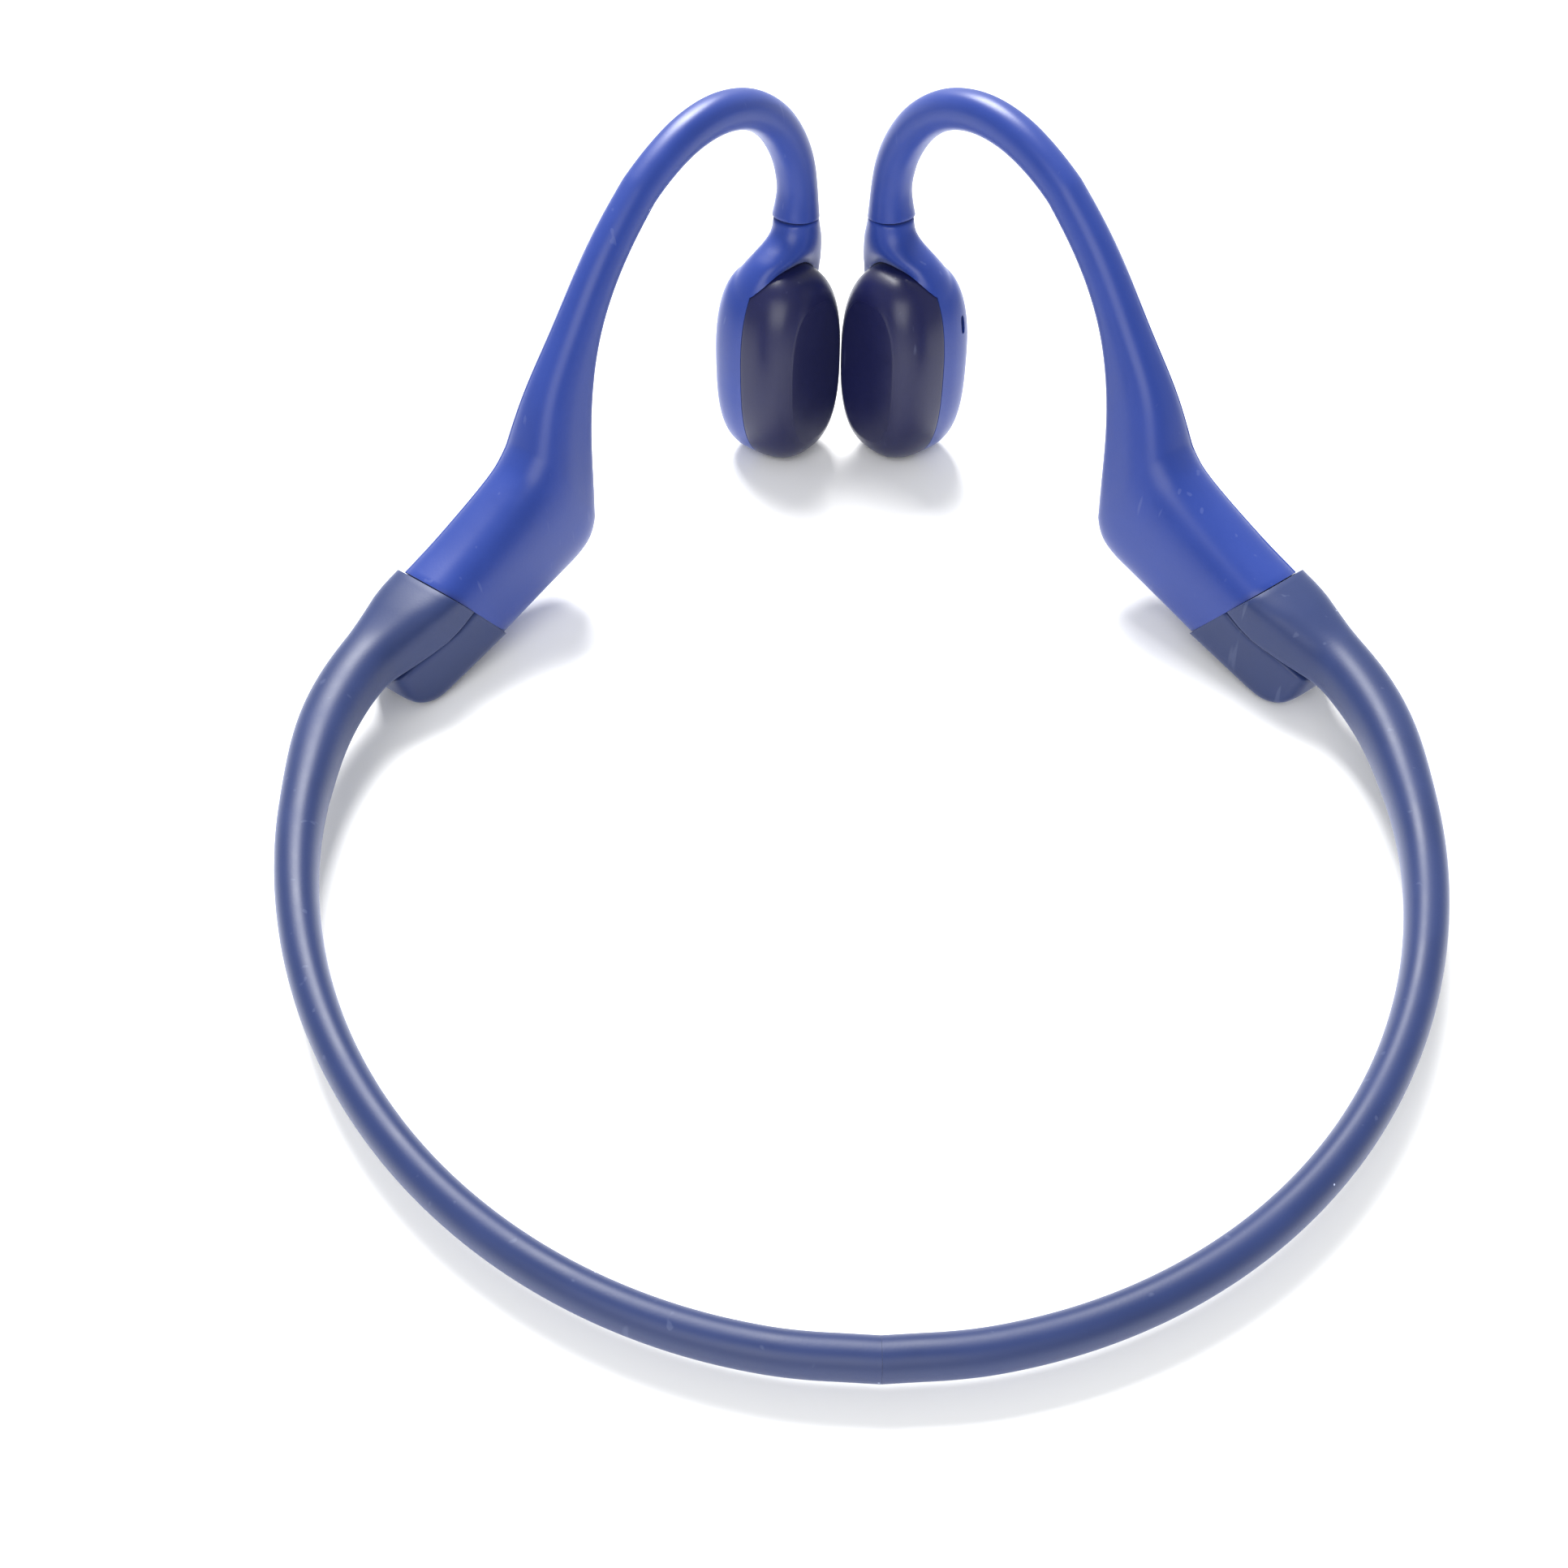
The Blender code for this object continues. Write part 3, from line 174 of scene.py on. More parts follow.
# How much the band swells toward its root, where along it that starts, and over what length.
ROOT_SWELL = np.array((0.70, 0.40)) * MM
ROOT_START = 54 * MM
ROOT_RUN = 17 * MM
# How many of the last rings are evened out, how many of them are kept at the very end, and how often.
ROOT_EVENED = 52
ROOT_KEPT = 7
ROOT_PASSES = 70
CHANNEL_HALF = (0.7 * MM, 1.15 * MM)
TOE_IN = math.radians(38)
SIN = math.sin(TOE_IN)
COS = math.cos(TOE_IN)
BOX_LENGTH = 27.6 * MM
BOX_HEIGHT = 19.0 * MM
BOX_THICKNESS = 9.3 * MM
BOX_X = 47.6 * MM
BOX_Y = REAR_Y + 77.6 * MM
ROOT_DRIFT = -0.9 * MM
HOOK_DRIFT = -1.8 * MM
# Superellipse powers: a circle, a nearly round tube, and the rounded top of a control box.
ROUND_POWER = 2.0
TUBE_POWER = 2.2
BACK_POWER = 2.7
# How far a moulded edge is turned in where two skins meet.
EDGE = 0.05 * MM
EDGE_AT_CAP = 0.06 * MM
EDGE_AT_POD = 0.08 * MM
SIDES = {1: "right", -1: "left"}
UP = np.array((0.0, 0.0, 1.0))
# Root rings: bottom and top point as shares of the box's length and height, thickness, and how square
# the foot is where it lies on the end cap.
ROOT_RINGS = (
    ((0.236, 0.452), (0.130, 0.654), 1.00, 16),
    ((0.147, 0.395), (0.032, 0.626), (1.00, 0.94), 16),
    ((0.035, 0.338), (-0.066, 0.590), (0.94, 0.80), 16),
    ((-0.066, 0.285), (-0.155, 0.545), (0.84, 0.74), 9),
)


def to_world(side, s, n, z):
    """A point of an arm's upright plane: s forward along it, n outward, z up."""
    return np.array((side * (BOX_X - s * SIN + n * COS), BOX_Y + s * COS + n * SIN, z))


def outward(side):
    """The direction out through an arm's thickness."""
    return np.array((side * COS, SIN, 0.0))


pod_low, pod_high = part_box("vibration_plate_right")
POD_S = ((pod_high.y + pod_low.y) / 2 - BOX_Y) * COS - ((pod_high.x + pod_low.x) / 2 - BOX_X) * SIN


def smooth_step(share):
    """A share from 0 to 1 that eases in and out."""
    held = np.clip(share, 0.0, 1.0)
    return held * held * (3 - 2 * held)


def drift(s):
    """How far an arm's middle lies inward of its plane at s."""
    start = 0.5 * BOX_LENGTH
    toward_pod = smooth_step((s - start) / (POD_S - 5 * MM - start))
    return HOOK_DRIFT * toward_pod + ROOT_DRIFT * smooth_step(-s / (8 * MM))


def ring(centre, across, up, half_across, half_up, power, turns, foot=None, taper=0.0):
    """Points of a superellipse round a centre; its foot may be squarer, and it may taper upward."""
    c = np.cos(turns)
    d = np.sin(turns)
    bend = np.where(d < 0, foot or power, power)
    b = np.sign(d) * np.abs(d) ** (2 / bend)
    a = (half_across - taper * b) * np.sign(c) * np.abs(c) ** (2 / bend)
    return centre + np.outer(a, across) + np.outer(half_up * b, up)


def plane_ring(side, low, high, thickness, inset, power, turns, foot=None):
    """A ring between a bottom and a top point of an arm's plane, drawn in by an inset.
    Its thickness is one share of the box's, or one at the bottom and one at the top."""
    wide, narrow = thickness if isinstance(thickness, tuple) else (thickness, thickness)
    bottom = np.array((low[0] * BOX_LENGTH, low[1] * BOX_HEIGHT))
    top = np.array((high[0] * BOX_LENGTH, high[1] * BOX_HEIGHT))
    middle = (bottom + top) / 2
    n = drift(middle[0])
    centre = to_world(side, middle[0], n, middle[1])
    rise = to_world(side, top[0], n, top[1]) - centre
    half_up = np.linalg.norm(rise)
    half_across = max((wide + narrow) * BOX_THICKNESS / 4 - inset, 0.05 * MM)
    taper = (wide - narrow) * BOX_THICKNESS / 4
    return ring(centre, outward(side), rise / half_up, half_across, half_up - inset, power, turns, foot,
                taper)


def refine(rows, steps):
    """More rows along a smooth curve through every point of the given ones."""
    rows = np.array(rows)
    rows = np.concatenate([2 * rows[:1] - rows[1:2], rows, 2 * rows[-1:] - rows[-2:-1]])
    found = []
    for i in range(1, len(rows) - 2):
        a, b, c, d = rows[i - 1:i + 3]
        for t in np.arange(steps) / steps:
            found.append(0.5 * (2 * b + (c - a) * t + (2 * a - 5 * b + 4 * c - d) * t ** 2
                                + (3 * b - a - 3 * c + d) * t ** 3))
    found.append(rows[-2])
    return found


def eased_edge(rows, size):
    """A run of rings whose first one is turned in, as a moulded edge is."""
    first = rows[0]
    middle = first.mean(axis=0)
    reach = np.linalg.norm(first - middle, axis=1)[:, None]
    inner = middle + (first - middle) * (1 - size / reach)
    gap = np.linalg.norm(rows[1] - first, axis=1).mean()
    step = (rows[1] - first) * min(size / gap, 0.6)
    soft = middle + (first - middle) * (1 - 0.3 * size / reach) + 0.3 * step
    return [inner, soft, first + step] + list(rows[1:])


def loft(rows, looped=False):
    """Skin a run of rings; a looped run closes on itself, and any other is capped at both ends."""
    rows = np.array(rows)
    count = rows.shape[1]
    faces = []
    total = len(rows)
    for i in range(total if looped else total - 1):
        j = (i + 1) % total
        for k in range(count):
            m = (k + 1) % count
            faces.append((i * count + k, i * count + m, j * count + m, j * count + k))
    if not looped:
        faces.append(tuple(range(count)))
        faces.append(tuple((total - 1) * count + k for k in range(count)))
    return rows.reshape(-1, 3), faces


def new_piece(name, shape, material, crease=35):
    """Store a mesh made in place as a smooth shaded piece."""
    points, faces = shape
    bm = bmesh.new()
    corners = [bm.verts.new(point) for point in points]
    for face in faces:
        bm.faces.new([corners[k] for k in face])
    bm.normal_update()
    bmesh.ops.recalc_face_normals(bm, faces=bm.faces)
    mesh = bpy.data.meshes.new(name)
    bm.to_mesh(mesh)
    bm.free()
    mesh.materials.append(material)
    mesh.shade_smooth()
    mesh.set_sharp_from_angle(angle=math.radians(crease))
    piece = bpy.data.objects.new(name, mesh)
    bpy.context.scene.collection.objects.link(piece)
    return piece


def moulded_silicone(name, deep, pale, roughness, worn, sheen):
    """Silicone rubber from a blasted mould: a satin skin with cloudy tone, lint and small scuffs."""
    made, tree, shader = start_material(name, roughness, ior=1.43)
    shader.inputs["Sheen Weight"].default_value = sheen
    shader.inputs["Sheen Roughness"].default_value = 0.45
    shader.inputs["Sheen Tint"].default_value = linear("C9D2F2")
    spot = add_node(tree, "ShaderNodeTexCoord").outputs["Object"]
    # Clouds about 9 mm across: skin oil and handling leave the rubber uneven in tone and gloss.
    cloud = add_node(tree, "ShaderNodeTexNoise", {"Vector": spot, "Scale": 1 / 0.009, "Detail": 4.0,
                                                  "Roughness": 0.6})
    body = add_node(tree, "ShaderNodeMix", {"Factor": cloud.outputs["Fac"], "A": linear(deep),
                                            "B": linear(pale)}, data_type="RGBA")
    # Lint: specks 0.2 mm across in cells of 3 mm, most of them left empty.
    cells = add_node(tree, "ShaderNodeTexVoronoi", {"Vector": spot, "Scale": 1 / 0.003})
    near = add_node(tree, "ShaderNodeMapRange", {"Value": cells.outputs["Distance"], "From Min": 0.034,
                                                 "From Max": 0.02})
    kept = add_node(tree, "ShaderNodeSeparateColor", {"Color": cells.outputs["Color"]})
    few = add_node(tree, "ShaderNodeMath", {0: kept.outputs["Red"], 1: 0.90}, operation="GREATER_THAN")
    lint = add_node(tree, "ShaderNodeMath", {0: near.outputs["Result"], 1: few.outputs["Value"]},
                    operation="MULTIPLY")
    # Scuffs: hair lines a few millimetres long, where a stretched noise crosses its middle value.
    stretch = add_node(tree, "ShaderNodeMapping", {"Vector": spot, "Rotation": (0.5, 0.9, 0.4),
                                                   "Scale": (900.0, 900.0, 130.0)})
    strand = add_node(tree, "ShaderNodeTexNoise", {"Vector": stretch.outputs["Vector"], "Scale": 1.0,
                                                   "Detail": 1.0})
    offset = add_node(tree, "ShaderNodeMath", {0: strand.outputs["Fac"], 1: 0.72}, operation="SUBTRACT")
    thin = add_node(tree, "ShaderNodeMapRange", {"Value": offset.outputs["Value"], "From Min": 0.0,
                                                 "From Max": 0.05, "To Max": worn})
    marks = add_node(tree, "ShaderNodeMath", {0: lint.outputs["Value"], 1: thin.outputs["Result"]},
                     operation="MAXIMUM")
    colour = add_node(tree, "ShaderNodeMix", {"Factor": marks.outputs["Value"],
                                              "A": body.outputs["Result"],
                                              "B": linear("B4BFE0")}, data_type="RGBA")
    tree.links.new(colour.outputs["Result"], shader.inputs["Base Color"])
    gloss = add_node(tree, "ShaderNodeMapRange", {"Value": cloud.outputs["Fac"], "From Min": 0.3,
                                                  "From Max": 0.7, "To Min": roughness - 0.04,
                                                  "To Max": roughness + 0.05})
    tree.links.new(gloss.outputs["Result"], shader.inputs["Roughness"])
    # Blasted mould grain. The real one is about 0.05 mm; it is drawn at 0.25 mm so that it shows.
    grain = add_node(tree, "ShaderNodeTexNoise", {"Vector": spot, "Scale": 1 / 0.00025, "Detail": 2.0})
    bump = add_node(tree, "ShaderNodeBump", {"Height": grain.outputs["Fac"], "Strength": 0.12,
                                             "Distance": 0.00004})
    tree.links.new(bump.outputs["Normal"], shader.inputs["Normal"])
    return made


slate_silicone = moulded_silicone("slate_silicone_rubber", "17264F", "1E2F60", 0.46, 0.05, 0.30)

BAND_TURNS = np.arange(48) / 48 * 2 * math.pi


def band_point(side, angle):
    """A point of the band's middle line at an angle round its half ellipse, 0 at the rear."""
    run = BAND_DEPTH * (1 - math.cos(angle))
    climb = (run / BAND_DEPTH) ** BAND_CLIMB_POWER
    return np.array((side * BAND_HALF_WIDTH * math.sin(angle), REAR_Y + run,
                     BAND_REAR_Z + (BAND_FLANK_Z - BAND_REAR_Z) * climb))


def root_centre(side, low, high):
    """The middle of a root ring."""
    s = (low[0] + high[0]) / 2 * BOX_LENGTH
    return to_world(side, s, drift(s), (low[1] + high[1]) / 2 * BOX_HEIGHT)


def band_path(side):
    """Middle line of one half of the band, from the rear centre to the last ring of its root."""
    points = [band_point(side, math.pi / 2 * k / 11) for k in range(12)]
    last = root_centre(side, *ROOT_RINGS[-1][:2])
    bend = last + np.array((side * ROOT_AIM[0], *ROOT_AIM[1:])) * ROOT_REACH
    flank = points[-1]
    middle = np.array((side * (BAND_HALF_WIDTH - FLANK_DRAW), *((flank + bend) / 2)[1:]))
    points[0] = points[0] + np.array((side * 0.01 * MM, 0, 0))
    return np.array(refine(points + [middle, bend, last], 3))


def band_section(side, path, halves, turns):
    """Rings square to a path of the band."""
    rows = []
    for k, place in enumerate(path):
        along = path[min(k + 1, len(path) - 1)] - path[max(k - 1, 0)]
        if k == 0:
            along = np.array((side, 0.0, 0.0))
        along = along / np.linalg.norm(along)
        across = side * np.cross(along, UP)
        across = across / np.linalg.norm(across)
        rows.append(ring(place, across, side * np.cross(across, along), *halves[k], TUBE_POWER, turns))
    return rows


def relax(rows, first, last, passes):
    """Even out the rings from first to last along their run."""
    rows = np.array(rows)
    for _ in range(passes):
        before = rows[first - 1:last - 1]
        after = rows[first + 1:last + 1]
        rows[first:last] = (before + 2 * rows[first:last] + after) / 4
    return list(rows)


for side, word in SIDES.items():
    path = band_path(side)[:-1]
    swell = [min((place[1] - REAR_Y) / BAND_DEPTH, 1.0) ** BAND_SWELL_POWER for place in path]
    neck = [smooth_step((place[1] - REAR_Y - ROOT_START) / ROOT_RUN) for place in path]
    halves = [BAND_REAR_HALF + (BAND_FLANK_HALF - BAND_REAR_HALF) * share + ROOT_SWELL * more
              for share, more in zip(swell, neck)]
    outer = band_section(side, path, halves, BAND_TURNS)
    inner = band_section(side, path, [CHANNEL_HALF] * len(path), BAND_TURNS)
    for low, high, thickness, foot in ROOT_RINGS[::-1]:
        outer.append(plane_ring(side, low, high, thickness, 0, BACK_POWER, BAND_TURNS, foot))
        centre = root_centre(side, low, high)
        rise = plane_ring(side, low, high, 1, 0, 2, np.array([math.pi / 2]))[0] - centre
        inner.append(ring(centre, outward(side), rise / np.linalg.norm(rise), *CHANNEL_HALF, TUBE_POWER,
                          BAND_TURNS))
    outer = refine(outer, 4)
    outer = relax(outer, len(outer) - ROOT_EVENED, len(outer) - ROOT_KEPT, ROOT_PASSES)
    outer = eased_edge(outer[::-1], EDGE)
    piece = new_piece(f"sleeve_{word}", loft(outer + inner, looped=True), slate_silicone)
    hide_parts(f"band_sleeve_{word}", "band_sleeve_centre")
    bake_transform(piece)

# ---------------------------------------------------------------------------------------------------
# Spring wire and cable of the band.
# A drawn titanium wire gives the band its spring, and a thin jacketed cable beside it joins the two
# boxes. Both lie loose in the sleeve's channel. Each is drawn in two halves that meet behind the neck.

WIRE_RADIUS = 0.35 * MM
CABLE_RADIUS = 0.30 * MM
WIRE_LIFT = 0.45 * MM
CABLE_LIFT = -0.50 * MM
WIRE_TURNS = np.arange(16) / 16 * 2 * math.pi

# Drawn titanium: warm grey metal with fine lines along the wire from the die.
titanium_wire, tree, shader = start_material("drawn_titanium", 0.32, metallic=1.0)
spot = add_node(tree, "ShaderNodeTexCoord").outputs["Object"]
lines = add_node(tree, "ShaderNodeTexNoise", {"Vector": spot, "Scale": 1 / 0.0003, "Detail": 2.0})
tone = add_node(tree, "ShaderNodeMix", {"Factor": lines.outputs["Fac"], "A": linear("A39E98"),
                                        "B": linear("B9B4AD")}, data_type="RGBA")
tree.links.new(tone.outputs["Result"], shader.inputs["Base Color"])

# Extruded cable jacket: dark matte elastomer with a faint bloom.
cable_jacket, tree, shader = start_material("extruded_cable_jacket", 0.55)
spot = add_node(tree, "ShaderNodeTexCoord").outputs["Object"]
bloom = add_node(tree, "ShaderNodeTexNoise", {"Vector": spot, "Scale": 1 / 0.002, "Detail": 3.0})
tone = add_node(tree, "ShaderNodeMix", {"Factor": bloom.outputs["Fac"], "A": linear("2A2A2D"),
                                        "B": linear("3A3A3E")}, data_type="RGBA")
tree.links.new(tone.outputs["Result"], shader.inputs["Base Color"])

for side, word in SIDES.items():
    path = list(band_path(side))
    path += [root_centre(side, low, high) for low, high, *_ in ROOT_RINGS[-2:0:-1]]
    for kind, lift, radius, finish, slot, node in (
            ("spring_wire", WIRE_LIFT, WIRE_RADIUS, titanium_wire, "titanium_wire", "band_spring_wire"),
            ("band_cable", CABLE_LIFT, CABLE_RADIUS, cable_jacket, "cable_jacket", "band_cable")):
        raised = [place + UP * lift for place in path]
        rows = band_section(side, raised, [(radius, radius)] * len(raised), WIRE_TURNS)
        piece = new_piece(f"{kind}_{word}", loft(rows), finish)
        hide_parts(node)
        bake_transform(piece)

# ---------------------------------------------------------------------------------------------------
# End caps of the control boxes.
# Slate blue silicone over a hard cap, glued to the box under the band's root. Its rear corner is
# rounded and touches the table.

# Cap rings: bottom and top point as shares of the box's length and height, and thickness.
CAP_RINGS = (
    ((0.404, 0.113), (0.237, 0.450), 1.00),
    ((0.272, 0.074), (0.147, 0.393), (1.00, 0.965)),
    ((0.152, 0.034), (0.050, 0.354), (1.00, 0.88)),
    ((0.044, 0.002), (-0.028, 0.330), (1.00, 0.82)),
    ((-0.018, 0.006), (-0.074, 0.308), (0.96, 0.76)),
    ((-0.076, 0.046), (-0.116, 0.282), (0.84, 0.66)),
    ((-0.112, 0.104), (-0.138, 0.252), (0.58, 0.44)),
    ((-0.132, 0.160), (-0.137, 0.186), 0.05),
)
CAP_TOP_POWER = 16
BOX_POWER = 3.8
BOX_WALL = 1.1 * MM
BOX_TURNS = np.arange(64) / 64 * 2 * math.pi

# The charging port's half length, half width, depth and clearance, in millimetres.
PORT_X = 2.7
PORT_N = 2.1
PORT_DEPTH = 2.0
PORT_CLEARANCE = 0.12
PORT_POWER = 8.0
OPENING_REACH = (-2.0, 4.0)
PORT_S = 0.2 * BOX_LENGTH
PORT_START = 0.058 * BOX_LENGTH
PORT_PITCH = math.radians(12.630)
KEY_TURNS = np.arange(48) / 48 * 2 * math.pi


def apply_modifiers(piece):
    """Replace a piece's mesh by what its modifiers make of it."""
    graph = bpy.context.evaluated_depsgraph_get()
    mesh = bpy.data.meshes.new_from_object(piece.evaluated_get(graph))
    piece.modifiers.clear()
    piece.data = mesh


def cut(piece, shapes):
    """Cut closed shapes out of a piece."""
    tools = []
    for k, shape in enumerate(shapes):
        tool = new_piece(f"tool_{k}", shape, piece.data.materials[0])
        step = piece.modifiers.new("cut", "BOOLEAN")
        step.operation = "DIFFERENCE"
        step.object = tool
        tools.append(tool)
    apply_modifiers(piece)
    for tool in tools:
        bpy.data.objects.remove(tool, do_unlink=True)
    piece.data.shade_smooth()
    piece.data.set_sharp_from_angle(angle=math.radians(40))


def in_port(x, up):
    """A point of the charging port: x along the cap's floor, up square to it."""
    foot = (PORT_S - PORT_START) * math.tan(PORT_PITCH)
    return to_world(1, PORT_S + x * math.cos(PORT_PITCH) - up * math.sin(PORT_PITCH), 0,
                    foot + x * math.sin(PORT_PITCH) + up * math.cos(PORT_PITCH))


def port_rings(x, table, power):
    """Rings square to the port's face: height, half length and half width in millimetres."""
    along = in_port(1, 0) - in_port(0, 0)
    return [ring(in_port(x * MM, up * MM), along, outward(1), half_x * MM, half_n * MM, power, KEY_TURNS)
            for up, half_x, half_n in table]


for side, word in SIDES.items():
    outer = [plane_ring(side, low, high, thickness, 0, CAP_TOP_POWER, BOX_TURNS, BOX_POWER)
             for low, high, thickness in CAP_RINGS]
    inner = [plane_ring(side, low, high, thickness, BOX_WALL, BOX_POWER, BOX_TURNS)
             for low, high, thickness in CAP_RINGS[:4]]
    outer = eased_edge(refine(outer, 6), EDGE_AT_CAP)
    piece = new_piece(f"end_cap_skin_{word}", loft(inner[::-1] + outer), slate_silicone)
    if side == 1:
        opening = [(up, PORT_X + PORT_CLEARANCE, PORT_N + PORT_CLEARANCE) for up in OPENING_REACH]
        cut(piece, [loft(port_rings(0, opening, PORT_POWER))])
    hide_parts(f"end_cap_{word}")
    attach(piece, f"{word}_arm")

# ---------------------------------------------------------------------------------------------------
# Charging port and its contacts.
# A black moulded block let into the floor of the right end cap. Two gold-plated pins sit in it, each
# in a bore, and a magnet behind it holds the plug.

# Moulded black nylon: a fine blasted surface that catches a soft grey sheen.
black_plastic, tree, shader = start_material("moulded_black_plastic", 0.48)
spot = add_node(tree, "ShaderNodeTexCoord").outputs["Object"]
grain = add_node(tree, "ShaderNodeTexNoise", {"Vector": spot, "Scale": 1 / 0.0003, "Detail": 2.0})
tone = add_node(tree, "ShaderNodeMix", {"Factor": grain.outputs["Fac"], "A": linear("1B1B1E"),
                                        "B": linear("262629")}, data_type="RGBA")
tree.links.new(tone.outputs["Result"], shader.inputs["Base Color"])
bump = add_node(tree, "ShaderNodeBump", {"Height": grain.outputs["Fac"], "Strength": 0.3,
                                         "Distance": 0.00003})
tree.links.new(bump.outputs["Normal"], shader.inputs["Normal"])

# Gold plating: warm bright metal, a little duller where the plug has rubbed it.
gold_plating, tree, shader = start_material("gold_plating", 0.24, metallic=1.0)
spot = add_node(tree, "ShaderNodeTexCoord").outputs["Object"]
rub = add_node(tree, "ShaderNodeTexNoise", {"Vector": spot, "Scale": 1 / 0.0004, "Detail": 2.0})
tone = add_node(tree, "ShaderNodeMix", {"Factor": rub.outputs["Fac"], "A": linear("D9AE55"),
                                        "B": linear("EAC670")}, data_type="RGBA")
tree.links.new(tone.outputs["Result"], shader.inputs["Base Color"])
worn = add_node(tree, "ShaderNodeMapRange", {"Value": rub.outputs["Fac"], "To Min": 0.18,
                                             "To Max": 0.34})
tree.links.new(worn.outputs["Result"], shader.inputs["Roughness"])

CONTACTS = {"rear": -1.4, "front": 1.4}
CONTACT_BORE = 0.62
CONTACT_RADIUS = 0.55
# Rings from the block's face inward: depth, and how far the rounded edge draws it in.
PORT_EASE = ((0.0, 0.25), (0.03, 0.12), (0.10, 0.03), (0.22, 0.0), (PORT_DEPTH, 0.0))
# Rings of a contact's domed pin: depth and radius.
PIN_RINGS = ((0.0, 0.02), (0.01, 0.25), (0.06, 0.43), (0.16, 0.52), (0.30, CONTACT_RADIUS),
             (PORT_DEPTH, CONTACT_RADIUS))
block = port_rings(0, [(up, PORT_X - ease, PORT_N - ease) for up, ease in PORT_EASE], PORT_POWER)
piece = new_piece("port_block", loft(block), black_plastic)
bore = ((-1.0, CONTACT_BORE, CONTACT_BORE), (PORT_DEPTH + 1.0, CONTACT_BORE, CONTACT_BORE))
cut(piece, [loft(port_rings(x, bore, ROUND_POWER)) for x in CONTACTS.values()])
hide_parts("charging_port")
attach(piece, "right_arm")
for word, x in CONTACTS.items():
    pin = port_rings(x, [(up, radius, radius) for up, radius in PIN_RINGS], ROUND_POWER)
    piece = new_piece(f"contact_pin_{word}", loft(pin), gold_plating)
    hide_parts(f"charging_contact_{word}")
    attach(piece, "right_arm")

# ---------------------------------------------------------------------------------------------------
# Hook covers.
# One bright blue silicone skin runs from the front of the control box up over the ear hook. It is
# moulded over the box and the hook's wire, and the mould leaves a fine parting line along its outer top
# edge.

# Cover rings, set out like the cap's.
COVER_RINGS = (
    ((0.404, 0.116), (0.133, 0.658), 1.00),
    ((0.514, 0.158), (0.275, 0.726), 1.00),
    ((0.616, 0.195), (0.404, 0.797), 1.00),
    ((0.746, 0.242), (0.543, 0.884), 1.00),
    ((0.855, 0.289), (0.638, 0.958), 1.00),
    ((0.928, 0.358), (0.688, 1.021), 0.99),
    ((0.971, 0.484), (0.725, 1.089), 0.95),
    ((0.989, 0.642), (0.750, 1.168), 0.88),
    ((1.000, 0.821), (0.775, 1.242), 0.79),
    ((1.014, 1.000), (0.804, 1.321), 0.69),
    ((1.036, 1.158), (0.841, 1.411), 0.61),
    ((1.080, 1.316), (0.899, 1.505), 0.56),
)
ARCH_HEIGHT = 46.1 * MM
# Points of the hook: shares of the way from the box to the pod, and of the arch's height.
HOOK_POINTS = (
    (0.029, 0.633), (0.127, 0.744), (0.240, 0.842), (0.379, 0.924), (0.546, 0.983), (0.711, 1.000),
    (0.867, 0.974), (0.994, 0.909), (1.078, 0.818), (1.110, 0.727), (1.104, 0.649),
)
# The hook's half width in millimetres at shares of its length.
HOOK_HALVES = (
    (0.0, 2.40), (0.12, 2.12), (0.32, 1.95), (0.55, 2.10), (0.72, 2.28), (0.92, 2.36), (1.0, 2.78),
)
HOOK_SAMPLES = 21
# The first and last ring of the cover that is evened out, and how often.
COVER_EVENED = (30, 88)
COVER_PASSES = 90
# How far the box's cavity narrows on its way into the hook.
CAVITY_SHARES = (0.55, 0.18)
# The parting line: where round a ring it lies, its width and height, and the rings it fades over.
PARTING_TURN = math.radians(62)
PARTING_HALF = math.radians(0.9)
PARTING_RISE = 0.06 * MM
PARTING_END = 55
PARTING_FADE = 20
BOX_MIDDLE = (0.525 * BOX_LENGTH, 0.49 * BOX_HEIGHT)
BOX_PITCH = math.radians(15)
FLOOR_UP = -0.317 * BOX_HEIGHT
VOLUME_MIDDLE = 0.043 * BOX_LENGTH
VOLUME_PLACES = {"down": VOLUME_MIDDLE - 3.5 * MM, "up": VOLUME_MIDDLE + 3.5 * MM}
VOLUME_POWER = 3.0
# Half length and half width of a volume key's hole, and the radius of the light pipe's, in millimetres.
VOLUME_HOLE = (2.22, 1.32)
LIGHT_HOLE = (0.66, 0.66)
HOLE_REACH = (-1.5, 3.2)
COVER_TURNS = np.sort(np.append(BOX_TURNS, PARTING_TURN + np.array((-1, 0, 1)) * PARTING_HALF))
PARTING_INDEX = int(np.argmin(np.abs(COVER_TURNS - PARTING_TURN)))

bright_silicone = moulded_silicone("bright_silicone_rubber", "17307A", "1D388A", 0.39, 0.05, 0.32)


def hook_line(samples):
    """Middle line of the hook in its arm's plane, as rows of s, n and z."""
    points = [(BOX_LENGTH + share * (POD_S - BOX_LENGTH), height * ARCH_HEIGHT)
              for share, height in HOOK_POINTS]
    fine = np.array(refine(points, 6))
    picked = fine[np.linspace(0, len(fine) - 1, samples).round().astype(int)]
    return [(s, drift(s), z) for s, z in picked]


def hook_rings(side, line, halves, turns):
    """Rings square to a line of the arm's plane."""
    places = [to_world(side, *point) for point in line]
    rows = []
    for k, place in enumerate(places):
        along = places[min(k + 1, len(places) - 1)] - places[max(k - 1, 0)]
        along = along / np.linalg.norm(along)
        up = side * np.cross(outward(side), along)
        up = up / np.linalg.norm(up)
        across = outward(side) - along * outward(side).dot(along)
        across = across / np.linalg.norm(across)
        rows.append(ring(place, across, up, *halves[k], TUBE_POWER, turns))
    return rows


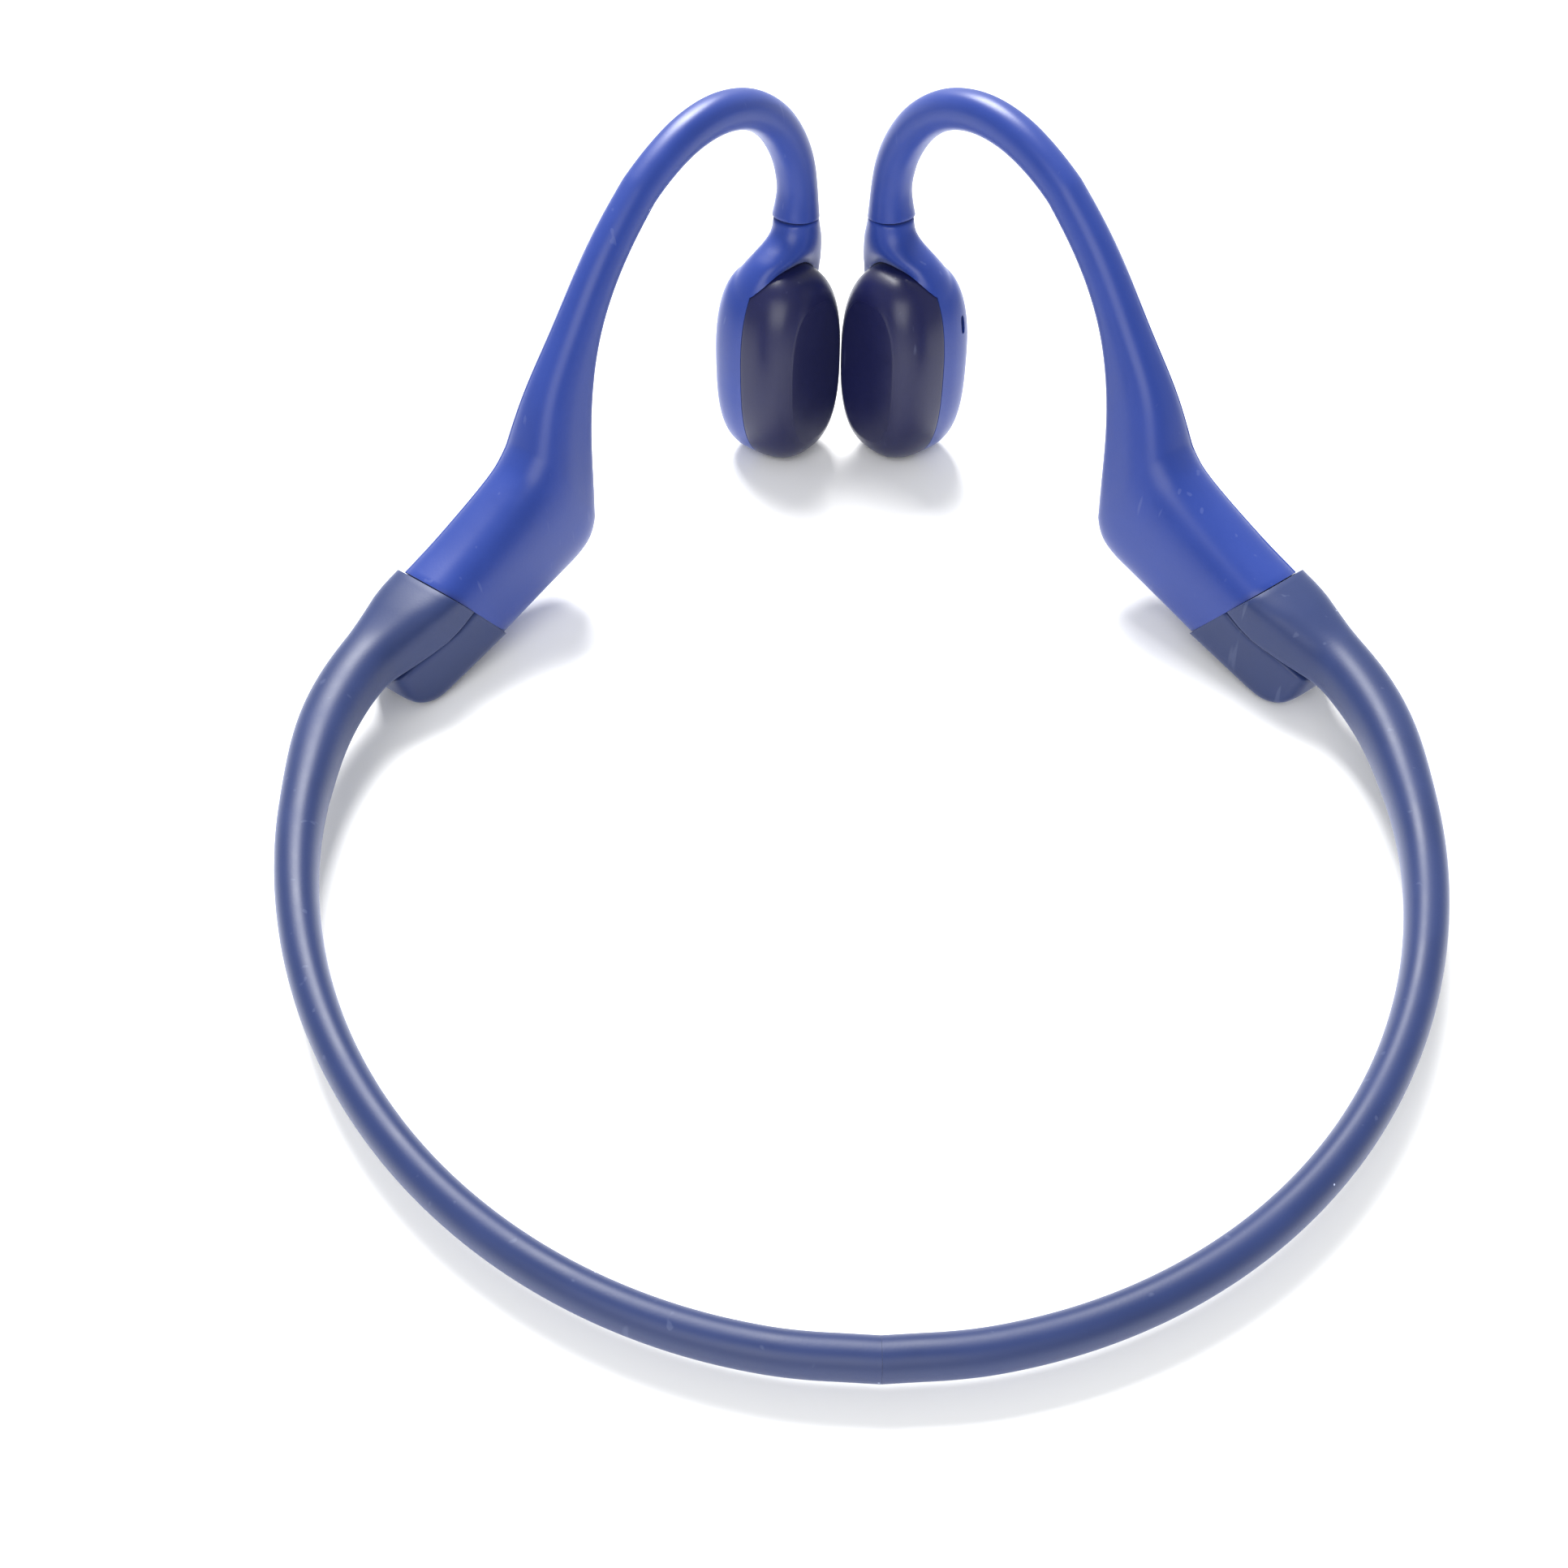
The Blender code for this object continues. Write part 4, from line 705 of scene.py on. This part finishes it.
def in_box(x, up):
    """A point of the right control box: x along its floor from its middle, up square to the floor."""
    return to_world(1, BOX_MIDDLE[0] + x * math.cos(BOX_PITCH) - up * math.sin(BOX_PITCH), 0,
                    BOX_MIDDLE[1] + x * math.sin(BOX_PITCH) + up * math.cos(BOX_PITCH))


def box_rings(x, table, power):
    """Rings square to the box's floor: height over it, half length and half width in millimetres."""
    along = in_box(1, 0) - in_box(0, 0)
    return [ring(in_box(x, FLOOR_UP + up * MM), along, outward(1), half_x * MM, half_n * MM, power,
                 KEY_TURNS) for up, half_x, half_n in table]


hook = hook_line(HOOK_SAMPLES)
shares, sizes = zip(*HOOK_HALVES)
hook_halves = np.interp(np.linspace(0, 1, HOOK_SAMPLES), shares, sizes) * MM
for side, word in SIDES.items():
    outer = [plane_ring(side, low, high, thickness, 0, BACK_POWER, COVER_TURNS, BOX_POWER)
             for low, high, thickness in COVER_RINGS]
    outer += hook_rings(side, hook, [(half, half) for half in hook_halves], COVER_TURNS)
    outer = relax(refine(outer, 5), *COVER_EVENED, COVER_PASSES)
    for k, row in enumerate(outer):
        lift = row[PARTING_INDEX] - row.mean(axis=0)
        fade = 1 - smooth_step((k - PARTING_END) / PARTING_FADE)
        row[PARTING_INDEX] += lift / np.linalg.norm(lift) * PARTING_RISE * fade
    inner = [plane_ring(side, low, high, thickness, BOX_WALL, BOX_POWER, COVER_TURNS)
             for low, high, thickness in COVER_RINGS[:6]]
    for share, (low, high, thickness) in zip(CAVITY_SHARES, COVER_RINGS[6:9:2]):
        middle = (np.array(low) + np.array(high)) / 2
        near = middle + (np.array(low) - middle) * share
        far = middle + (np.array(high) - middle) * share
        inner.append(plane_ring(side, near, far, thickness * share, 0, BOX_POWER, COVER_TURNS))
    inner += hook_rings(side, hook, [CHANNEL_HALF] * HOOK_SAMPLES, COVER_TURNS)
    outer = eased_edge(eased_edge(outer, EDGE)[::-1], EDGE_AT_POD)[::-1]
    piece = new_piece(f"hook_skin_{word}", loft(outer + inner[::-1], looped=True), bright_silicone)
    if side == 1:
        holes = [box_rings(x, [(up, *VOLUME_HOLE) for up in HOLE_REACH], VOLUME_POWER)
                 for x in VOLUME_PLACES.values()]
        holes.append(box_rings(VOLUME_MIDDLE, [(up, *LIGHT_HOLE) for up in HOLE_REACH], ROUND_POWER))
        cut(piece, [loft(hole) for hole in holes])
    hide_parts(f"hook_cover_{word}")
    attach(piece, f"{word}_arm")

# ---------------------------------------------------------------------------------------------------
# Pod shells.
# The outer half of each pod, in the same bright blue silicone over a hard shell. Its top flares up into
# a neck that the hook plugs into, and its rim meets the pad in a fine seam.

POD_HALF_WIDTH = 7.3 * MM
POD_HALF_HEIGHT = 12.6 * MM
POD_HALF_DEPTH = 5.85 * MM
POD_POWER = 2.65
SHELL_WALL = 1.1 * MM
# The microphone slot: its half width and half height, and its place as shares of the pod's half depth
# and half height.
SLOT_HALF = (0.35 * MM, 1.1 * MM)
SLOT_DEPTH = 0.58
SLOT_HEIGHT = 1.5
POD_TURNS = np.arange(72) / 72 * 2 * math.pi
# Rings: depth, half width and half height as shares of the pod's.
SHELL_RINGS = (
    (-0.30, 1.00, 1.00), (0.03, 1.00, 1.00), (0.36, 1.00, 1.00), (0.66, 0.94, 0.96), (0.88, 0.81, 0.86),
    (0.98, 0.62, 0.72), (1.0, 0.35, 0.42), (1.0, 0.02, 0.03),
)
HOLLOW_RINGS = ((-0.35, 1, 1), (0.36, 1, 1), (0.66, 0.94, 0.96), (0.80, 0.81, 0.86))
# What is cut from the shell to make room for the pad, and the gap left round it.
RIM_RINGS = ((-1.6, 1, 1), (0.012, 1, 1))
RIM_GAP = 0.10 * MM
# Neck rings: height over the pod's top, lean along s, depth, half along s, half through, all in
# millimetres, and how far the ring wraps down over the pod's rounded top.
NECK_RINGS = (
    (4.62, 3.60, -0.05, 2.70, 2.70, 0.0), (3.90, 3.56, -0.09, 2.84, 2.70, 0.0),
    (3.10, 3.42, -0.13, 3.18, 2.74, 0.0), (2.40, 3.15, -0.12, 3.78, 2.82, 0.1),
    (1.70, 2.65, -0.02, 4.55, 2.92, 0.3), (1.00, 1.98, 0.22, 5.42, 2.98, 0.6),
    (0.30, 1.20, 0.66, 6.25, 2.88, 0.9), (-0.40, 0.55, 1.15, 6.80, 2.78, 1.0),
    (-1.60, 0.10, 1.45, 6.95, 2.58, 1.0),
)


def forward(side):
    """The direction forward along an arm's plane."""
    return np.array((-side * SIN, COS, 0.0))


def pod_rings(side, table, shrink):
    """Rings of a pod, drawn in at the side by a shrink."""
    rows = []
    for depth, width, height in table:
        centre = to_world(side, POD_S, HOOK_DRIFT + depth * POD_HALF_DEPTH, POD_HALF_HEIGHT)
        rows.append(ring(centre, forward(side), UP, max(width * POD_HALF_WIDTH - shrink, 0.02 * MM),
                         max(height * POD_HALF_HEIGHT - shrink, 0.02 * MM), POD_POWER, POD_TURNS))
    return rows


def round_rings(side, table, turns):
    """Circles round the pod's middle axis: depth and radius in millimetres."""
    return [ring(to_world(side, POD_S, HOOK_DRIFT + depth * MM, POD_HALF_HEIGHT), forward(side), UP,
                 radius * MM, radius * MM, ROUND_POWER, turns) for depth, radius in table]


# The radius of the multifunction key and of its hole, in millimetres.
KEY_RADIUS = 3.1
KEY_HOLE = KEY_RADIUS + 0.12
KEY_HOLE_REACH = (8.0, 3.2)
for side, word in SIDES.items():
    body_points, body_faces = loft(refine(pod_rings(side, SHELL_RINGS, 0), 4))
    along = forward(side)
    neck = []
    for rise, lean, depth, half_s, half_n, wrap in NECK_RINGS:
        centre = to_world(side, POD_S + lean * MM, HOOK_DRIFT + depth * MM,
                          2 * POD_HALF_HEIGHT + rise * MM)
        row = ring(centre, along, outward(side), half_s * MM, half_n * MM, TUBE_POWER, POD_TURNS)
        share = np.abs((row - to_world(side, POD_S, 0, 0)).dot(along)) / POD_HALF_WIDTH
        fall = 1 - np.clip(1 - share ** POD_POWER, 0.02, 1) ** (1 / POD_POWER)
        row[:, 2] -= wrap * POD_HALF_HEIGHT * fall
        neck.append(row)
    neck_points, neck_faces = loft(refine(neck, 4))
    shift = len(body_points)
    both = (np.concatenate([body_points, neck_points]),
            body_faces + [tuple(k + shift for k in face) for face in neck_faces])
    piece = new_piece(f"pod_skin_{word}", both, bright_silicone)
    weld = piece.modifiers.new("weld", "REMESH")
    weld.mode = "VOXEL"
    weld.voxel_size = 0.2 * MM
    soften = piece.modifiers.new("soften", "SMOOTH")
    soften.factor = 0.5
    soften.iterations = 22
    apply_modifiers(piece)
    hollow = pod_rings(side, HOLLOW_RINGS, SHELL_WALL)
    rim = pod_rings(side, RIM_RINGS, -RIM_GAP)
    end_s, end_n, end_z = hook[-1]
    bore = [(end_s, end_n, end_z + 1 * MM), (end_s, end_n, end_z),
            (end_s - 0.5 * MM, end_n, end_z - 5 * MM),
            (POD_S + 1.2 * MM, end_n + 2.7 * MM, end_z - 9 * MM)]
    shapes = [loft(rim), loft(hollow), loft(hook_rings(side, bore, [CHANNEL_HALF] * 4, BAND_TURNS))]
    if side == -1:
        hole = [(depth, KEY_HOLE) for depth in KEY_HOLE_REACH]
        shapes.append(loft(round_rings(side, hole, KEY_TURNS)))
    else:
        slot_place = to_world(side, POD_S - POD_HALF_WIDTH, HOOK_DRIFT + SLOT_DEPTH * POD_HALF_DEPTH,
                              POD_HALF_HEIGHT * SLOT_HEIGHT)
        slot_rows = [ring(slot_place + along * reach, outward(side), UP, *SLOT_HALF, 3.0, WIRE_TURNS)
                     for reach in (-2.0 * MM, 2.6 * MM)]
        shapes.append(loft(slot_rows))
    cut(piece, shapes)
    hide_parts(f"pod_shell_{word}")
    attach(piece, f"{word}_arm")

# ---------------------------------------------------------------------------------------------------
# Face pads.
# Soft navy silicone caps that carry the vibration to the cheekbone: a deep domed cup with a flat face,
# bonded to the rim of the shell.

# Rings: depth, half width and half height as shares of the pod's.
PAD_RINGS = (
    (-0.008, 0.988, 0.994), (-0.02, 1.0, 1.0), (-0.23, 0.998, 0.999), (-0.44, 0.980, 0.986),
    (-0.64, 0.938, 0.954), (-0.81, 0.872, 0.902), (-0.935, 0.786, 0.836), (-1.002, 0.710, 0.772),
    (-1.024, 0.668, 0.738), (-1.032, 0.635, 0.710), (-1.036, 0.45, 0.50), (-1.038, 0.2, 0.2),
    (-1.038, 0.01, 0.01),
)
PAD_HOLLOW = ((-0.03, 1, 1), (-0.42, 0.978, 0.987), (-0.72, 0.91, 0.94), (-0.83, 0.79, 0.86))
PAD_WALL = 1 * MM
pad_silicone = moulded_silicone("navy_pad_silicone_rubber", "0C0E36", "111443", 0.33, 0.05, 0.08)
for side, word in SIDES.items():
    outer = refine(pod_rings(side, PAD_RINGS, 0), 4)
    inner = pod_rings(side, PAD_HOLLOW, PAD_WALL)
    piece = new_piece(f"pad_{word}", loft(inner[::-1] + outer), pad_silicone)
    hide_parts(f"face_pad_{word}")
    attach(piece, f"{word}_arm")

# ---------------------------------------------------------------------------------------------------
# Keys and status light.
# The multifunction key is a low round cap in the outer face of the left pod, moulded in the same bright
# silicone. Two black volume keys and a frosted light pipe sit in the floor of the right control box.

# The key's rings: height over the pod's face and radius, in millimetres. A wider foot behind the shell's
# wall keeps it in.
KEY_UNDER = -SHELL_WALL / MM - 0.3
KEY_FOOT = KEY_RADIUS + 0.45
KEY_RINGS = ((0.40, 0.03), (0.41, 1.2), (0.47, 2.1), (0.50, 2.5), (0.44, 2.8), (0.28, 3.0),
             (0.0, KEY_RADIUS), (KEY_UNDER, KEY_RADIUS), (KEY_UNDER, KEY_FOOT),
             (KEY_UNDER - 0.5, KEY_FOOT))
key = round_rings(-1, [(POD_HALF_DEPTH / MM + up, radius) for up, radius in KEY_RINGS], KEY_TURNS)
piece = new_piece("multifunction_cap", loft(key), bright_silicone)
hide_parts("multifunction_button")
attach(piece, "multifunction_key")

# Rings of a volume key: height over the floor, half length and half width, in millimetres.
VOLUME_RINGS = ((-0.42, 0.10, 0.06), (-0.43, 0.9, 0.45), (-0.48, 1.45, 0.75), (-0.50, 1.7, 0.92),
                (-0.44, 1.95, 1.08), (-0.25, 2.1, 1.2), (1.4, 2.1, 1.2), (1.4, 2.55, 1.65),
                (1.9, 2.55, 1.65))
for word, x in VOLUME_PLACES.items():
    key = box_rings(x, VOLUME_RINGS, VOLUME_POWER)
    piece = new_piece(f"volume_{word}_cap", loft(key), black_plastic)
    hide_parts(f"volume_{word}_button")
    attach(piece, f"volume_{word}")

# Frosted acrylic: milky, and a little light goes through it.
frosted_acrylic, tree, shader = start_material("frosted_acrylic", 0.42, ior=1.49)
shader.inputs["Transmission Weight"].default_value = 0.35
spot = add_node(tree, "ShaderNodeTexCoord").outputs["Object"]
haze = add_node(tree, "ShaderNodeTexNoise", {"Vector": spot, "Scale": 1 / 0.0005, "Detail": 2.0})
tone = add_node(tree, "ShaderNodeMix", {"Factor": haze.outputs["Fac"], "A": linear("DDE2E6"),
                                        "B": linear("EEF1F3")}, data_type="RGBA")
tree.links.new(tone.outputs["Result"], shader.inputs["Base Color"])
# Rings of the light pipe's domed end: height over the floor and radius, in millimetres.
PIPE_RINGS = ((0.0, 0.02), (0.02, 0.3), (0.08, 0.5), (0.2, 0.6), (1.7, 0.6))
pipe = box_rings(VOLUME_MIDDLE, [(up, radius, radius) for up, radius in PIPE_RINGS], ROUND_POWER)
piece = new_piece("light_pipe", loft(pipe), frosted_acrylic)
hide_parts("status_light_pipe")
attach(piece, "right_arm")

# ---------------------------------------------------------------------------------------------------
# Works inside the boxes, pods and hooks.
# Boards, cell, chassis, switches, microphone, drivers, wires and cables, as the CAD makes them. They
# are closed in and show only when a shell is taken off, so each keeps its shape and gets a finish.


def finish_nodes(material, *names):
    """Give CAD nodes a material."""
    for name in names:
        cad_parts[name].data.materials.clear()
        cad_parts[name].data.materials.append(material)


finish_nodes(titanium_wire, "hook_wire_right", "hook_wire_left")
finish_nodes(cable_jacket, "hook_cable_right", "hook_cable_left")
finish_nodes(black_plastic, "volume_up_switch", "volume_down_switch", "multifunction_switch")

# Plated steel: cool grey with faint rolling marks that blur its reflections.
plated_steel, tree, shader = start_material("plated_steel", 0.28, metallic=1.0)
spot = add_node(tree, "ShaderNodeTexCoord").outputs["Object"]
drawn = add_node(tree, "ShaderNodeMapping", {"Vector": spot, "Scale": (1.0, 1.0, 14.0)})
rolled = add_node(tree, "ShaderNodeTexNoise", {"Vector": drawn.outputs["Vector"], "Scale": 1 / 0.002,
                                               "Detail": 3.0})
tone = add_node(tree, "ShaderNodeMix", {"Factor": rolled.outputs["Fac"], "A": linear("B4B6BA"),
                                        "B": linear("CBCDD0")}, data_type="RGBA")
tree.links.new(tone.outputs["Result"], shader.inputs["Base Color"])
worn = add_node(tree, "ShaderNodeMapRange", {"Value": rolled.outputs["Fac"], "To Min": 0.22,
                                             "To Max": 0.38})
tree.links.new(worn.outputs["Result"], shader.inputs["Roughness"])
finish_nodes(plated_steel, "transducer_yoke_right", "transducer_yoke_left", "vibration_plate_right",
             "vibration_plate_left", "processor_shield", "microphone")

# Nickelled magnet: brighter than the steel, with small chips of plating gone at random.
nickelled_magnet, tree, shader = start_material("nickelled_magnet", 0.18, metallic=1.0)
spot = add_node(tree, "ShaderNodeTexCoord").outputs["Object"]
chips = add_node(tree, "ShaderNodeTexVoronoi", {"Vector": spot, "Scale": 1 / 0.0006})
edge = add_node(tree, "ShaderNodeMapRange", {"Value": chips.outputs["Distance"], "From Min": 0.05,
                                             "From Max": 0.15})
tone = add_node(tree, "ShaderNodeMix", {"Factor": edge.outputs["Result"], "A": linear("77777A"),
                                        "B": linear("C4C2BC")}, data_type="RGBA")
tree.links.new(tone.outputs["Result"], shader.inputs["Base Color"])
finish_nodes(nickelled_magnet, "transducer_magnet_right", "transducer_magnet_left", "charging_magnet")

# Enamelled copper winding: fine turns 0.06 mm apart, drawn as bands along the coil's axis.
copper_winding, tree, shader = start_material("enamelled_copper_winding", 0.3, metallic=1.0)
spot = add_node(tree, "ShaderNodeTexCoord").outputs["Object"]
turns = add_node(tree, "ShaderNodeTexWave", {"Vector": spot, "Scale": 2 / 0.0012, "Distortion": 0.4})
tone = add_node(tree, "ShaderNodeMix", {"Factor": turns.outputs["Fac"], "A": linear("9A4F26"),
                                        "B": linear("D98A55")}, data_type="RGBA")
tree.links.new(tone.outputs["Result"], shader.inputs["Base Color"])
bump = add_node(tree, "ShaderNodeBump", {"Height": turns.outputs["Fac"], "Strength": 0.5,
                                         "Distance": 0.00003})
tree.links.new(bump.outputs["Normal"], shader.inputs["Normal"])
finish_nodes(copper_winding, "voice_coil_right", "voice_coil_left")

# Green solder mask: glossy, with paler tracks about 0.4 mm wide under it.
solder_mask, tree, shader = start_material("green_solder_mask", 0.3)
spot = add_node(tree, "ShaderNodeTexCoord").outputs["Object"]
tracks = add_node(tree, "ShaderNodeTexVoronoi", {"Vector": spot, "Scale": 1 / 0.0016},
                  distance="MANHATTAN")
line = add_node(tree, "ShaderNodeMath", {0: tracks.outputs["Distance"], 1: 0.62},
                operation="GREATER_THAN")
tone = add_node(tree, "ShaderNodeMix", {"Factor": line.outputs["Value"], "A": linear("145A2C"),
                                        "B": linear("2E7B45")}, data_type="RGBA")
tree.links.new(tone.outputs["Result"], shader.inputs["Base Color"])
finish_nodes(solder_mask, "main_board", "battery_board", "multifunction_board")

# Glass-filled nylon: matte grey, mottled by the fibres that reach its skin.
glass_nylon, tree, shader = start_material("glass_filled_nylon", 0.6)
spot = add_node(tree, "ShaderNodeTexCoord").outputs["Object"]
fibres = add_node(tree, "ShaderNodeTexNoise", {"Vector": spot, "Scale": 1 / 0.0005, "Detail": 5.0})
tone = add_node(tree, "ShaderNodeMix", {"Factor": fibres.outputs["Fac"], "A": linear("7B7E83"),
                                        "B": linear("93969B")}, data_type="RGBA")
tree.links.new(tone.outputs["Result"], shader.inputs["Base Color"])
finish_nodes(glass_nylon, "box_chassis_right", "box_chassis_left", "transducer_frame_right",
             "transducer_frame_left", "aerial")

# Cell film: aluminised laminate with the shallow creases of a vacuum-sealed pouch.
cell_film, tree, shader = start_material("aluminised_cell_film", 0.3, metallic=0.9)
spot = add_node(tree, "ShaderNodeTexCoord").outputs["Object"]
creases = add_node(tree, "ShaderNodeTexNoise", {"Vector": spot, "Scale": 1 / 0.0025, "Detail": 2.0,
                                                "Distortion": 1.2})
tone = add_node(tree, "ShaderNodeMix", {"Factor": creases.outputs["Fac"], "A": linear("A9ADB5"),
                                        "B": linear("C3C6CC")}, data_type="RGBA")
tree.links.new(tone.outputs["Result"], shader.inputs["Base Color"])
bump = add_node(tree, "ShaderNodeBump", {"Height": creases.outputs["Fac"], "Strength": 0.6,
                                         "Distance": 0.0002})
tree.links.new(bump.outputs["Normal"], shader.inputs["Normal"])
finish_nodes(cell_film, "battery")
